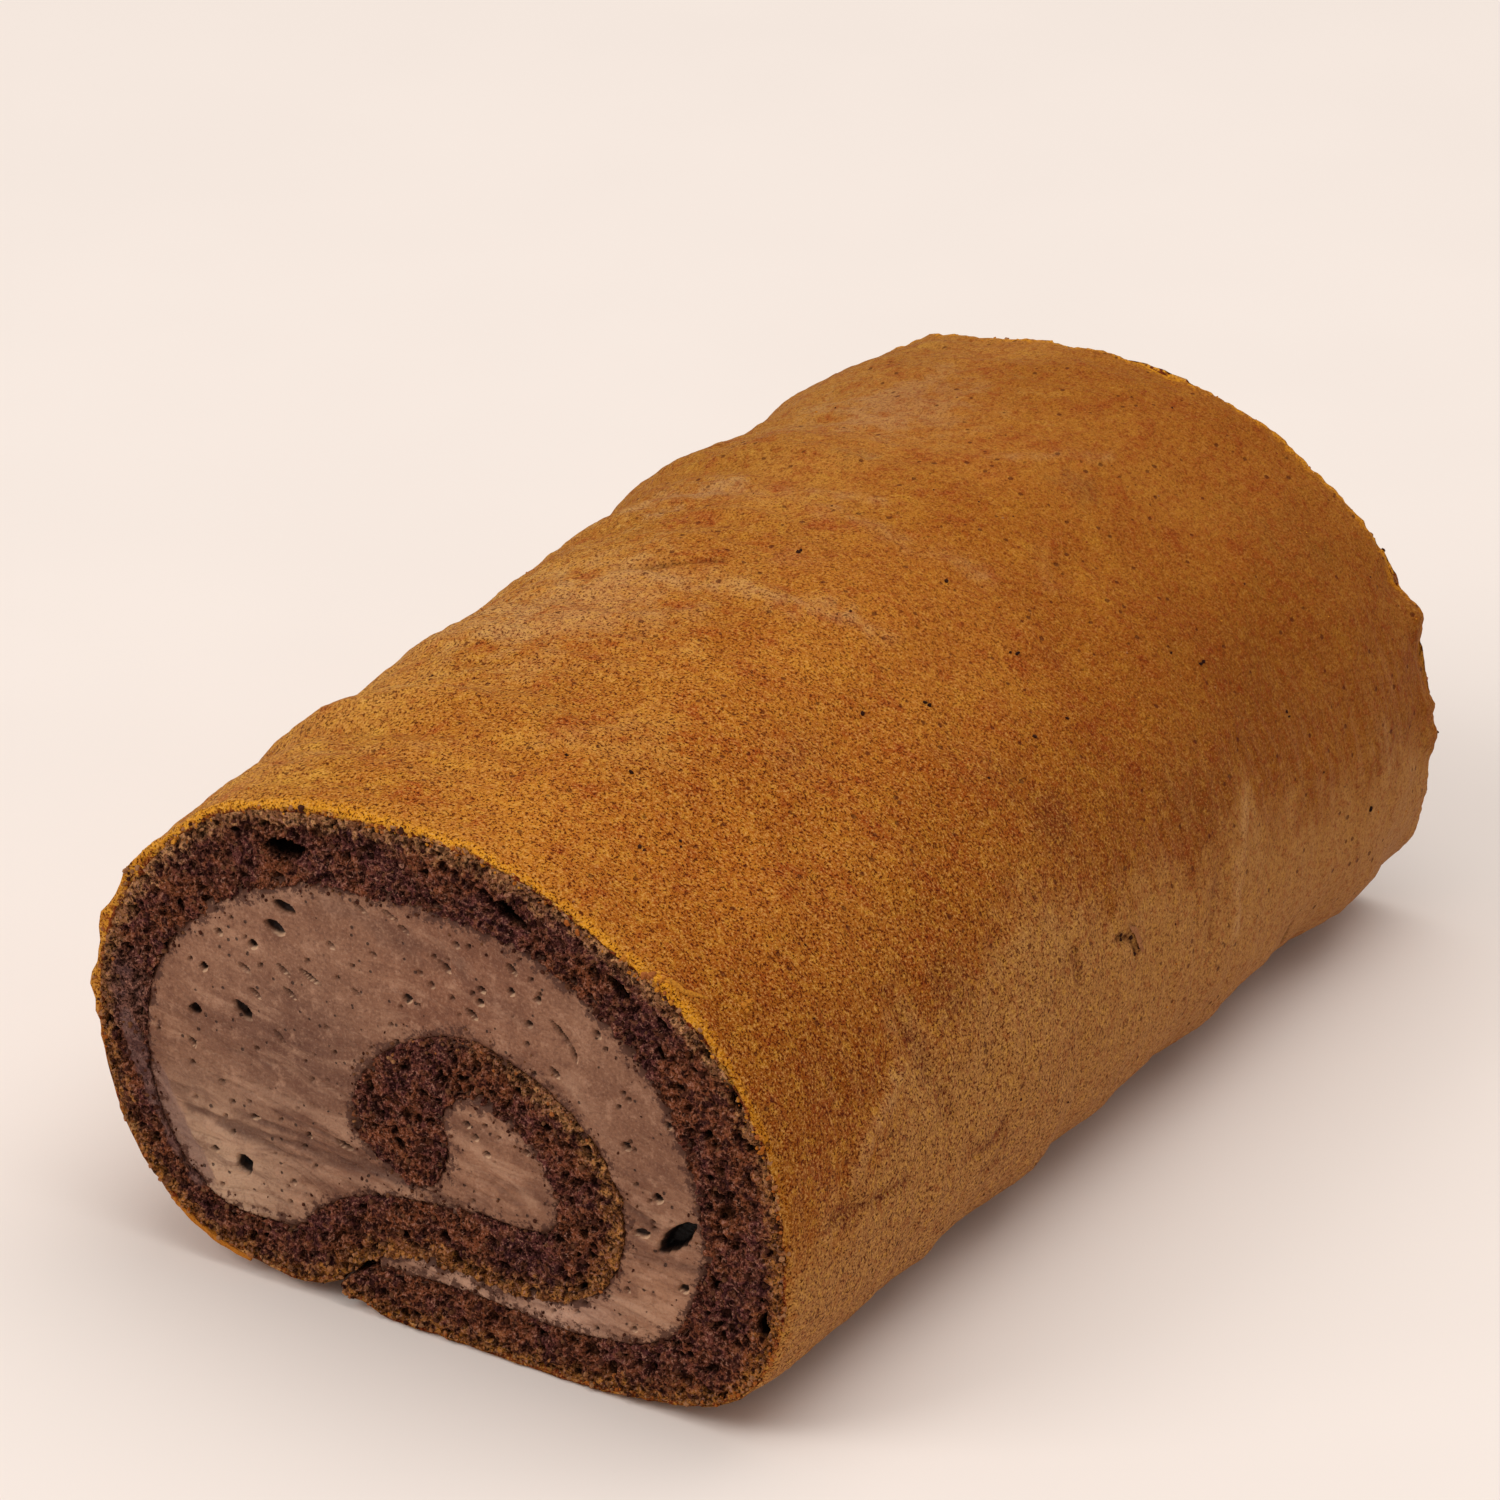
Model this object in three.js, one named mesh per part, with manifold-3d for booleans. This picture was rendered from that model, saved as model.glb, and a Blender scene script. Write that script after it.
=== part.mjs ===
// A whole chocolate roll cake, lying on the flat it has settled on: one sheet of chocolate sponge with a
// browned skin, rolled round a thick whipped chocolate cream, with both ends cut to show the turns.
//
// Millimetres, +Z up. The roll lies along Y with the front cut facing -Y. The origin is on the surface it
// rests on, under the middle of its bounding box.

import * as THREE from 'three';
import { mergeVertices } from 'three/addons/utils/BufferGeometryUtils.js';
import Module from 'manifold-3d';

// Driving sizes of the roll
const ROLL_LENGTH = 162;
const CORE_HEIGHT = 32; // the line that the turns swell away from
const CLEARANCE = 0.3; // between the sponge and the cream
const OUTLINE_STEP = 4.4; // along the sheet, between corners of its outline
const CLOSEST_CORNERS = 0.25; // corners nearer than this along the sheet are left out
const WAY_STEP = 0.05; // stations to each side that give the sheet's way at a station
const SPONGE_SLICES = 24; // along the roll
const CREAM_SLICES = 12;
const SAME_PLACE = 1e-4; // corners this near are one corner

// The sponge sheet seen at the front cut, as [x, z, thickness] from its outer end to its inner end
const UNDERSIDE = [
  [-13.6, 2.4, 2.4], [-10.8, 3.5, 5.2], [-6.8, 3.9, 7.6], [3, 3.9, 7.9], [14, 3.7, 7.3], [25, 4.2, 7.1],
];
const RIGHT_SIDE = [
  [33.2, 5.8, 8.6], [39.7, 9.9, 11.6], [43.2, 17.3, 12], [44.2, 25.3, 11.4], [42.8, 34.3, 12],
];
const TOP = [
  [39, 43.8, 11.6], [32.5, 51.5, 10.8], [22.5, 58.1, 9.2], [10, 62.9, 9.8], [-4, 63.9, 10], [-17, 62.7, 10],
];
const LEFT_SIDE = [
  [-28.3, 59.1, 10.6], [-38, 51.3, 9.4], [-44.2, 42.3, 8.4], [-46.2, 32.3, 7.6], [-45.4, 21.8, 6.6],
];
const TURN_IN = [
  [-41, 12.5, 6.2], [-34, 6.9, 6], [-26, 5.3, 6.8], [-19.6, 5.6, 8.2], [-16.4, 7.6, 8.2], [-12.6, 11.3, 8],
];
const INNER_ARM = [
  [-4.6, 14.1, 8], [6, 14.9, 9.2], [15.5, 15.2, 9.2], [21.3, 18.9, 9.2], [22, 25.8, 9.4],
];
const HOOK = [
  [18.8, 32.3, 8.6], [12, 37.2, 7.8], [4.2, 38.9, 8], [-1.8, 35.9, 9.4], [-4.8, 30.9, 13], [-5.2, 26.5, 14],
];
const LAST_OUTSIDE = TURN_IN[3]; // from here on the sheet lies inside the roll
const STATIONS = [...UNDERSIDE, ...RIGHT_SIDE, ...TOP, ...LEFT_SIDE, ...TURN_IN, ...INNER_ARM, ...HOOK];
const OUTER_END_SWELL = 0.8; // how far the outer end rounds out past its last station
const INNER_END_SWELL = 5;
const INNER_END_SKEW = 0.5; // the inner end hangs lower on its cream side
const END_SHARES = [-0.8, -0.45, 0, 0.45, 0.8]; // places across a rounded end, from -1 to 1
const SETTLED = 0.4; // skin lower than this lies flat on the surface below

// The cream starts and stops beside the seam, at these stations of the sheet
const CREAM_FROM_STATION = 1.7;
const CREAM_TO_STATION = 27.4;

// Away from the knife the roll is thicker, most of all at its upper left shoulder
const SHOULDER_ANGLE = 145;
const SWELL_NEAR_FRONT = 1.6;
const NEAR_FRONT = [-5, 15]; // distances from the front cut between which that thickening grows
const SWELL_FURTHER_BACK = 0.9;
const FURTHER_BACK = [40, 65];
const PINCH_AT_BACK = 0.5; // share of the thickening lost again at the back cut
const PINCH_REACH = 22;
const SWELL_ELSEWHERE = 0.3; // share of that thickening on the side away from the shoulder
const SWELL_RADIUS = 42; // where the thickening is whole, measured from the core
const SWELL_FOOT = 15; // height over which the thickening fades in above the flat underside

// Bulges of the skin between faint creases: distance from the front cut, angle, height, reach along Y
const BULGES = [
  [30, 140, 1.2, 5.5], [57, 145, 0.8, 7], [89, 140, 0.9, 9], [115, 145, 2, 7.5], [147, 150, 0.8, 8],
  [44, 60, 0.5, 9], [78, 75, 0.7, 10], [128, 80, 0.6, 11], [156, 55, 2.6, 14],
  [66, 15, 0.5, 12], [104, 10, 0.7, 10], [147, -5, 0.9, 9],
];
const BULGE_SPREAD = 34; // degrees round the roll
const SKIN_DEPTH = 5; // how deep a bulge reaches into the sponge

// Air pockets opened by the knife, as [x, z, half length, half height, tilt in degrees] on the front cut
const SPONGE_POCKETS = [
  [-21, 61.4, 2.9, 1, 8], [11.6, 61.6, 3, 0.7, -22], [42.6, 46.3, 1, 1.6, 20], [46.4, 16.8, 1, 1.7, 0],
];
const CREAM_POCKETS = [
  [34.2, 25.1, 2.3, 1.4, 25], [-28.6, 15.7, 1.1, 1.3, 30], [-21.5, 53.3, 1.4, 0.8, -10],
];
const POCKET_DEPTH = 1.6;
const SPONGE_COLOUR = 0x5a3a24;
const SPONGE_ROUGHNESS = 0.9;
const CREAM_COLOUR = 0x7d5848;
const CREAM_ROUGHNESS = 0.6;

/** Smooth step from 0 at a to 1 at b. */
function fade(value, a, b) {
  return THREE.MathUtils.smoothstep(value, a, b);
}

/** The sheet's centreline, each sample with its station, thickness and the way to its browned side. */
function sampleSheet() {
  const curve = new THREE.CatmullRomCurve3(
    STATIONS.map((station) => new THREE.Vector3(...station)), false, 'centripetal');
  const spans = STATIONS.length - 1;
  const stations = [];
  for (let i = 0; i < spans; i++) {
    const [[x0, z0], [x1, z1]] = [STATIONS[i], STATIONS[i + 1]];
    const pieces = Math.max(1, Math.round(Math.hypot(x1 - x0, z1 - z0) / OUTLINE_STEP));
    for (let j = 0; j < pieces; j++) stations.push(i + j / pieces);
  }
  stations.push(spans);
  return stations.map((station) => {
    const { x, y: z, z: thickness } = curve.getPoint(station / spans);
    const ahead = curve.getPoint(Math.min(1, (station + WAY_STEP) / spans));
    const behind = curve.getPoint(Math.max(0, (station - WAY_STEP) / spans));
    const along = new THREE.Vector2(ahead.x - behind.x, ahead.y - behind.y).normalize();
    const out = new THREE.Vector2(along.y, -along.x);
    return { station, centre: new THREE.Vector2(x, z), thickness, along, out };
  });
}

/** A line beside the sheet: side 1 is its browned skin, side -1 its inner face, each moved on by extra. */
function besideSheet(samples, side, extra = 0) {
  const line = [];
  for (const { centre, thickness, along, out } of samples) {
    const point = centre.clone().addScaledVector(out, side * (thickness / 2 + extra));
    const last = line[line.length - 1];
    const turnsBack = last && point.clone().sub(last).dot(along) < CLOSEST_CORNERS;
    if (!turnsBack) line.push(point);
  }
  return line;
}

/** The rounded end of the sheet, from its browned side to its inner side. */
function roundedEnd(sample, direction, swell, skew, extra = 0) {
  return END_SHARES.map((share) => {
    const bulge = (swell + extra) * Math.sqrt(1 - share * share) * (1 + skew * share);
    return sample.centre.clone()
      .addScaledVector(sample.out, -share * (sample.thickness / 2 + extra))
      .addScaledVector(sample.along, direction * bulge);
  });
}

/** Closed outline of the sponge sheet at the front cut. */
function spongeOutline(samples) {
  const skin = besideSheet(samples, 1);
  const inner = besideSheet(samples, -1).reverse();
  const innerEnd = roundedEnd(samples[samples.length - 1], 1, INNER_END_SWELL, INNER_END_SKEW);
  const outerEnd = roundedEnd(samples[0], -1, OUTER_END_SWELL, 0).reverse();
  const outline = [...skin, ...innerEnd, ...inner, ...outerEnd];
  for (const point of outline) if (point.y < SETTLED) point.y = 0;
  return outline;
}

/** Closed outline of the cream, which fills every gap between the turns from the seam inwards. */
function creamOutline(samples) {
  const facing = samples.filter(({ station }) => station >= CREAM_FROM_STATION);
  const behind = samples.filter(({ station }) => station >= CREAM_TO_STATION);
  const inner = besideSheet(facing, -1, CLEARANCE);
  const skin = besideSheet(behind, 1, CLEARANCE).reverse();
  const innerEnd = roundedEnd(samples[samples.length - 1], 1, INNER_END_SWELL, INNER_END_SKEW, CLEARANCE);
  return [...inner, ...innerEnd.reverse(), ...skin];
}

/** How far the roll has thickened at this angle and distance from the front cut. */
function thickening(angle, fromFront) {
  const pinch = 1 - PINCH_AT_BACK * fade(fromFront, ROLL_LENGTH - PINCH_REACH, ROLL_LENGTH);
  const growth = SWELL_NEAR_FRONT * fade(fromFront, ...NEAR_FRONT)
    + SWELL_FURTHER_BACK * fade(fromFront, ...FURTHER_BACK);
  const facing = Math.max(0, Math.cos(THREE.MathUtils.degToRad(angle - SHOULDER_ANGLE)));
  return growth * pinch * (SWELL_ELSEWHERE + (1 - SWELL_ELSEWHERE) * facing);
}

/** How far the skin bulges at this angle and distance from the front cut. */
function bulging(angle, fromFront) {
  return BULGES.reduce((sum, [distance, bulgeAngle, height, reach]) => {
    const along = (fromFront - distance) / reach;
    const round = (angle - bulgeAngle) / BULGE_SPREAD;
    return sum + height * Math.exp(-(along * along + round * round) / 2);
  }, 0);
}

/** Moves the straight extrusion's corners out to the roll's uneven form. */
function swell(geometry, outerSkin) {
  const position = geometry.attributes.position;
  for (let i = 0; i < position.count; i++) {
    const [x, y, z] = [position.getX(i), position.getY(i), position.getZ(i)];
    const fromFront = y + ROLL_LENGTH / 2;
    const [across, up] = [x, z - CORE_HEIGHT];
    const radius = Math.hypot(across, up);
    const raw = THREE.MathUtils.radToDeg(Math.atan2(up, across));
    const angle = raw < -100 ? raw + 360 : raw; // the underside is where the angles start and end
    const depth = Math.min(...outerSkin.map((point) => Math.hypot(point.x - x, point.y - z)));
    const onSkin = Math.max(0, 1 - depth / SKIN_DEPTH);
    const swollen = (thickening(angle, fromFront) * radius) / SWELL_RADIUS;
    const move = ((swollen + bulging(angle, fromFront) * onSkin) * fade(z, 0, SWELL_FOOT)) / radius;
    position.setXYZ(i, x + across * move, y, z + up * move);
  }
  return geometry;
}

/** Extrudes an outline drawn at the front cut along the whole roll. */
function extrudeRoll(outline, slices) {
  const geometry = new THREE.ExtrudeGeometry(new THREE.Shape(outline), {
    depth: ROLL_LENGTH, steps: slices, bevelEnabled: false, curveSegments: 1,
  });
  geometry.rotateX(Math.PI / 2).translate(0, ROLL_LENGTH / 2, 0);
  return geometry;
}

/** An air pocket, flattened into the cut, at the front or turned round to the back. */
function pocket([x, z, halfLength, halfHeight, tilt], end) {
  const geometry = new THREE.IcosahedronGeometry(1, 1);
  geometry.scale(halfLength, POCKET_DEPTH, halfHeight).rotateY(-THREE.MathUtils.degToRad(tilt));
  return geometry.translate(x, (end * ROLL_LENGTH) / 2, z);
}

const wasm = await Module();
wasm.setup();

/** A closed solid with shared corners. */
function toSolid(geometry) {
  geometry.deleteAttribute('normal');
  geometry.deleteAttribute('uv');
  const merged = mergeVertices(geometry, SAME_PLACE);
  return new wasm.Manifold(new wasm.Mesh({
    numProp: 3,
    vertProperties: new Float32Array(merged.attributes.position.array),
    triVerts: new Uint32Array(merged.index.array),
  }));
}

/** The faceted geometry of a solid. */
function toGeometry(solid) {
  const { vertProperties, triVerts } = solid.getMesh();
  const geometry = new THREE.BufferGeometry();
  geometry.setAttribute('position', new THREE.BufferAttribute(vertProperties, 3));
  geometry.setIndex(new THREE.BufferAttribute(triVerts, 1));
  geometry.computeVertexNormals();
  return geometry;
}

/** Cuts the pockets into both ends of a solid. */
function openPockets(geometry, pockets) {
  let solid = toSolid(geometry);
  for (const end of [-1, 1]) {
    for (const shape of pockets) solid = solid.subtract(toSolid(pocket(shape, end)));
  }
  return toGeometry(solid);
}

/** One named piece of the roll. */
function piece(name, geometry, colour, roughness) {
  const material = new THREE.MeshStandardMaterial({ color: colour, roughness, metalness: 0 });
  const mesh = new THREE.Mesh(geometry, material);
  mesh.name = name;
  return mesh;
}

const samples = sampleSheet();
const outerTurn = samples.filter(({ station }) => station < STATIONS.indexOf(LAST_OUTSIDE));
const outerSkin = besideSheet(outerTurn, 1);
const spongeBody = swell(extrudeRoll(spongeOutline(samples), SPONGE_SLICES), outerSkin);
const creamBody = swell(extrudeRoll(creamOutline(samples), CREAM_SLICES), outerSkin);

const roll = new THREE.Group();
roll.add(piece('sponge', openPockets(spongeBody, SPONGE_POCKETS), SPONGE_COLOUR, SPONGE_ROUGHNESS));
roll.add(piece('cream', openPockets(creamBody, CREAM_POCKETS), CREAM_COLOUR, CREAM_ROUGHNESS));

// The origin goes under the middle of the roll's bounding box
const box = new THREE.Box3().setFromObject(roll);
const middle = box.getCenter(new THREE.Vector3());
roll.position.set(-middle.x, -middle.y, -box.min.z);

export default roll;
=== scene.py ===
import math

import bmesh
import bpy
import numpy as np
from mathutils import Euler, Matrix, Vector, kdtree, noise


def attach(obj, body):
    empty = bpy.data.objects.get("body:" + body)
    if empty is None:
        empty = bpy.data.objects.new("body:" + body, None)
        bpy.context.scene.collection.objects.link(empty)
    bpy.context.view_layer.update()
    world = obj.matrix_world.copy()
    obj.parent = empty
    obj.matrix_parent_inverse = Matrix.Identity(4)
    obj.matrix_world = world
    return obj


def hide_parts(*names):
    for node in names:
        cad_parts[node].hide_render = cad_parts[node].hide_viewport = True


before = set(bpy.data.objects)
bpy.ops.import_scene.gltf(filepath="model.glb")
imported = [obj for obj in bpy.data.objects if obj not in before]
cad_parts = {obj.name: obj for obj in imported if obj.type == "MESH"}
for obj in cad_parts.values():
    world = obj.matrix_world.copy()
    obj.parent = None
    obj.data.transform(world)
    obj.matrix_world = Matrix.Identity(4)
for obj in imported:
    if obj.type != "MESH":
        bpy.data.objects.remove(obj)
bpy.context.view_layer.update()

# A whole chocolate roll cake. Shapes are worked out in millimetres, in the drawing of the front cut
# (x across, z up) and in distance from that cut, and are put into the frame in metres at the end.

MM = 0.001
LENGTH = 162.0
MIDDLE_X = 0.94  # from the drawing's middle to the frame's
CORE_HEIGHT = 32.0

# The sponge sheet at the front cut: x, z and thickness, from its outer end to its inner end
UNDERSIDE = [
    (-13.6, 2.4, 2.4), (-10.8, 3.5, 5.2), (-6.8, 3.9, 7.6), (3, 3.9, 7.9), (14, 3.7, 7.3), (25, 4.2, 7.1),
]
RIGHT_SIDE = [(33.2, 5.8, 8.6), (39.7, 9.9, 11.6), (43.2, 17.3, 12), (44.2, 25.3, 11.4), (42.8, 34.3, 12)]
TOP = [
    (39, 43.8, 11.6), (32.5, 51.5, 10.8), (22.5, 58.1, 9.2), (10, 62.9, 9.8), (-4, 63.9, 10),
    (-17, 62.7, 10),
]
LEFT_SIDE = [
    (-28.3, 59.1, 10.6), (-38, 51.3, 9.4), (-44.2, 42.3, 8.4), (-46.2, 32.3, 7.6), (-45.4, 21.8, 6.6),
]
TURN_IN = [
    (-41, 12.5, 6.2), (-34, 6.9, 6), (-26, 5.3, 6.8), (-19.6, 5.6, 8.2), (-16.4, 7.6, 8.2),
    (-12.6, 11.3, 8),
]
INNER_ARM = [(-4.6, 14.1, 8), (6, 14.9, 9.2), (15.5, 15.2, 9.2), (21.3, 18.9, 9.2), (22, 25.8, 9.4)]
HOOK = [
    (18.8, 32.3, 8.6), (12, 37.2, 7.8), (4.2, 38.9, 8), (-1.8, 35.9, 9.4), (-4.8, 30.9, 13),
    (-5.2, 26.5, 14),
]
STATIONS = np.array(UNDERSIDE + RIGHT_SIDE + TOP + LEFT_SIDE + TURN_IN + INNER_ARM + HOOK, float)
LAST_STATION = len(STATIONS) - 1
SEAM_STATION = len(UNDERSIDE + RIGHT_SIDE + TOP + LEFT_SIDE) + 3.6  # the browned side leaves the outside
OUTER_END_SWELL = 0.8
INNER_END_SWELL = 5.0
INNER_END_SKEW = 0.5
CREAM_FROM_STATION = 1.7
CREAM_TO_STATION = 27.4

# Swelling away from the knife, and bulges as (distance from the front cut, angle, height, reach)
SHOULDER_ANGLE = 145.0
BULGES = [
    (30, 140, 1.2, 5.5), (57, 145, 0.8, 7), (89, 140, 0.9, 9), (115, 145, 2, 7.5), (147, 150, 0.8, 8),
    (44, 60, 0.5, 9), (78, 75, 0.7, 10), (128, 80, 0.6, 11), (156, 55, 2.6, 14), (66, 15, 0.5, 12),
    (104, 10, 0.7, 10), (147, -5, 0.9, 9),
]
BULGE_SPREAD = 34.0
SKIN_DEPTH = 5.0


def fade(value, low, high):
    """Smooth step from 0 at low to 1 at high."""
    share = np.clip((np.asarray(value, float) - low) / (high - low), 0, 1)
    return share * share * (3 - 2 * share)


def sheet_at(stations):
    """x, z and thickness of the sheet at these stations, on a smooth curve through the named ones."""
    ends = np.vstack([2 * STATIONS[0] - STATIONS[1], STATIONS, 2 * STATIONS[-1] - STATIONS[-2]])
    first = np.clip(np.floor(stations).astype(int), 0, LAST_STATION - 1)
    share = (stations - first)[:, None]
    before, start, stop, after = (ends[first + k] for k in range(4))
    gaps = [np.sqrt(np.linalg.norm(b - a, axis=1))[:, None]
            for a, b in ((before, start), (start, stop), (stop, after))]
    leaving = (start - before) / gaps[0] - (stop - before) / (gaps[0] + gaps[1]) + (stop - start) / gaps[1]
    arriving = (stop - start) / gaps[1] - (after - start) / (gaps[1] + gaps[2]) + (after - stop) / gaps[2]
    leaving, arriving = leaving * gaps[1], arriving * gaps[1]
    square = -3 * start + 3 * stop - 2 * leaving - arriving
    cube = 2 * start - 2 * stop + leaving + arriving
    return start + share * (leaving + share * (square + share * cube))


def ways(stations):
    """Unit vectors along the sheet and out of its browned side."""
    ahead = sheet_at(np.minimum(stations + 0.05, LAST_STATION))[:, :2]
    behind = sheet_at(np.maximum(stations - 0.05, 0))[:, :2]
    along = (ahead - behind) / np.linalg.norm(ahead - behind, axis=1)[:, None]
    return along, np.column_stack([along[:, 1], -along[:, 0]])


def side_line(stations, side, extra=0.0):
    """The line beside the sheet: 1 is its browned side, -1 its inner face. It never doubles back."""
    sheet = sheet_at(stations)
    along, out = ways(stations)
    line = sheet[:, :2] + out * (side * (sheet[:, 2] / 2 + extra))[:, None]
    kept = [0]
    for k in range(1, len(line)):
        if (line[k] - line[kept[-1]]) @ along[k] > 0.02:
            kept.append(k)
    return np.column_stack([np.interp(stations, stations[kept], line[kept, axis]) for axis in (0, 1)])


DENSE = np.linspace(0, LAST_STATION, 6001)
ARC = np.concatenate([[0], np.cumsum(np.linalg.norm(np.diff(sheet_at(DENSE)[:, :2], axis=0), axis=1))])
SHEET_LENGTH = ARC[-1]


def settled(line):
    """The line with its lowest stretch lying flat."""
    line = line.copy()
    line[:, 1] *= fade(line[:, 1], 0.3, 1.0)
    return line


OUTER_STATIONS = np.linspace(0, SEAM_STATION, 1400)
OUTER_SKIN = settled(side_line(OUTER_STATIONS, 1))


def tree_of(points):
    """A search tree of these points of the drawing."""
    tree = kdtree.KDTree(len(points))
    for number, (x, z) in enumerate(points):
        tree.insert((x, z, 0), number)
    tree.balance()
    return tree


def nearest(tree, x, z):
    """How far each drawing point is from the tree's nearest one, and where that one is."""
    found = [tree.find((px, pz, 0)) for px, pz in zip(x.tolist(), z.tolist())]
    return np.array([hit[2] for hit in found]), np.array([hit[0][:2] for hit in found])


SKIN_TREE = tree_of(OUTER_SKIN)


def angles(x, z):
    raw = np.degrees(np.arctan2(z - CORE_HEIGHT, x))
    return np.where(raw < -100, raw + 360, raw)


def thickening(angle, from_front):
    """How much the roll has grown out from the size of its front cut."""
    pinch = 1 - 0.5 * fade(from_front, LENGTH - 22, LENGTH)
    growth = 1.6 * fade(from_front, -5, 15) + 0.9 * fade(from_front, 40, 65)
    facing = np.maximum(0, np.cos(np.radians(angle - SHOULDER_ANGLE)))
    return growth * pinch * (0.3 + 0.7 * facing)


def bulging(angle, from_front):
    total = np.zeros_like(from_front)
    for distance, middle, height, reach in BULGES:
        off = ((from_front - distance) / reach) ** 2 + ((angle - middle) / BULGE_SPREAD) ** 2
        total += height * np.exp(-off / 2)
    return total


def swell(x, from_front, z, depth):
    """Moves straight-extruded points out to the uneven roll."""
    radius = np.hypot(x, z - CORE_HEIGHT)
    angle = angles(x, z)
    grown = thickening(angle, from_front) * radius / 42
    bulge = bulging(angle, from_front) * np.maximum(0, 1 - depth / SKIN_DEPTH)
    move = (grown + bulge) * fade(z, 0, 15) / radius
    return x * (1 + move), z + (z - CORE_HEIGHT) * move


def drawn(x, z, third=0.0):
    """Drawing points as rows for the patterns, all with this third number."""
    return np.column_stack([x, z, np.full_like(x, third)])


def level(value, line):
    """The height of a line of (place, height) at each value."""
    return np.interp(value, *np.array(line, float).T)


def rough(points, size, seed=0, octaves=1):
    """Noise of about -1 to 1 at these points, with features of this size."""
    shift = Vector((17.3, 5.1, 9.7)) * (seed + 1)
    return np.array([noise.fractal(Vector(p) / size + shift, 0.8, 2.0, octaves) for p in points.tolist()])


def cells(points, size, seed=0):
    """Distances to the nearest two of a scatter of centres, and the nearest one's own number, 0 to 1."""
    shift = Vector((3.9, 21.7, 8.3)) * (seed + 1)
    found = []
    for p in points.tolist():
        distances, centres = noise.voronoi(Vector(p) / size + shift)
        found.append((distances[0], distances[1], 0.5 + 0.5 * noise.cell(centres[0] * 7.31)))
    return np.array(found).T


def hollows(x, z, places):
    """How deep these pockets are at each point of a cut: x, z, half length, half height, tilt, depth."""
    deepest = np.zeros_like(x)
    uneven = 0.1 * rough(drawn(x, z), 0.9, 51, 1)
    for px, pz, half_length, half_height, tilt, depth in places:
        turn = math.radians(tilt)
        across = ((x - px) * math.cos(turn) + (z - pz) * math.sin(turn)) / half_length
        up = (-(x - px) * math.sin(turn) + (z - pz) * math.cos(turn)) / half_height
        away = np.sqrt(across ** 2 + np.abs(up) ** 1.15) + uneven
        deepest = np.maximum(deepest, depth * (1 - fade(away, 0.74, 1.06)))
    return deepest


def beside(across, up, trail):
    """Distance of each point of a flat drawing from this trail of places."""
    closest = np.full_like(across, 1e3)
    for (x0, y0), (x1, y1) in zip(trail, trail[1:]):
        square = (x1 - x0) ** 2 + (y1 - y0) ** 2
        along = np.clip(((across - x0) * (x1 - x0) + (up - y0) * (y1 - y0)) / square, 0, 1)
        off = np.hypot(across - x0 - along * (x1 - x0), up - y0 - along * (y1 - y0))
        closest = np.minimum(closest, off)
    return closest


# A smooth, darker tongue of cream that the knife drew over the left of the cut: x, z
KNIFE_TONGUE = [(-45.6, 31.5), (-43.9, 27), (-41.5, 23), (-39.5, 19), (-37.9, 16), (-35.4, 12.4)]
TONGUE_HALF_WIDTH = 2.3


def on_tongue(x, z):
    """How much of the tongue covers each point of the cut."""
    off = beside(x, z, KNIFE_TONGUE) + 0.4 * rough(drawn(x, z), 2.5, 52, 2)
    width = TONGUE_HALF_WIDTH * (1 - 0.5 * fade(z, 24, 32))
    return 1 - fade(off / width, 0.65, 1.05)


def in_frame(x, from_front, z):
    """Drawing places as millimetres of the frame."""
    return np.column_stack([x + MIDDLE_X, from_front - LENGTH / 2, np.maximum(z, 0)])


def corners(mesh):
    """The mesh's corners as numbers."""
    places = np.empty(len(mesh.vertices) * 3, np.float32)
    mesh.vertices.foreach_get("co", places)
    return places.reshape(-1, 3).astype(float)


def stored(mesh, name, width):
    """A mesh attribute as numbers."""
    values = np.empty(len(mesh.vertices) * width, np.float32)
    mesh.attributes[name].data.foreach_get("value" if width == 1 else "vector", values)
    return values.astype(float) if width == 1 else values.reshape(-1, 3).astype(float)


def store(mesh, name, values):
    layer = mesh.attributes.get(name) or mesh.attributes.new(name, "FLOAT", "POINT")
    layer.data.foreach_set("value", np.asarray(values, np.float32))


def to_mesh(name, bm):
    mesh = bpy.data.meshes.new(name)
    bm.to_mesh(mesh)
    bm.free()
    return mesh


def face_outwards(mesh):
    bm = bmesh.new()
    bm.from_mesh(mesh)
    bmesh.ops.recalc_face_normals(bm, faces=bm.faces)
    bm.to_mesh(mesh)
    bm.free()


def place(mesh, places):
    """Moves the mesh's corners to these places, in millimetres of the frame."""
    mesh.vertices.foreach_set("co", np.ascontiguousarray(places * MM, np.float32).ravel())
    mesh.update()


def linked(name, data):
    """A new object in the scene."""
    holder = bpy.data.objects.new(name, data)
    bpy.context.scene.collection.objects.link(holder)
    return holder


def pulled_back(bm, edges, distances):
    """Walls from these edges back to each distance in turn, and a flat face that closes them."""
    for distance in distances:
        walls = bmesh.ops.extrude_edge_only(bm, edges=edges)["geom"]
        edges = [part for part in walls if isinstance(part, bmesh.types.BMEdge)]
        for vert in {v for e in edges for v in e.verts}:
            vert.co.y = distance
    bmesh.ops.contextual_create(bm, geom=edges)


def finished(name, mesh, node, finish):
    """The piece in the scene, on the body and in place of its node, with its finish."""
    piece = linked(name, mesh)
    mesh.materials.clear()
    mesh.materials.append(finish)
    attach(piece, "root")
    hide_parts(node)
    return piece


# Finishes

def seen(red, green, blue):
    """A colour as it is seen, 0 to 255, as the light that it reflects."""
    shares = [c / 255 for c in (red, green, blue)]
    return tuple(c / 12.92 if c <= 0.04045 else ((c + 0.055) / 1.055) ** 2.4 for c in shares) + (1.0,)


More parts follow.
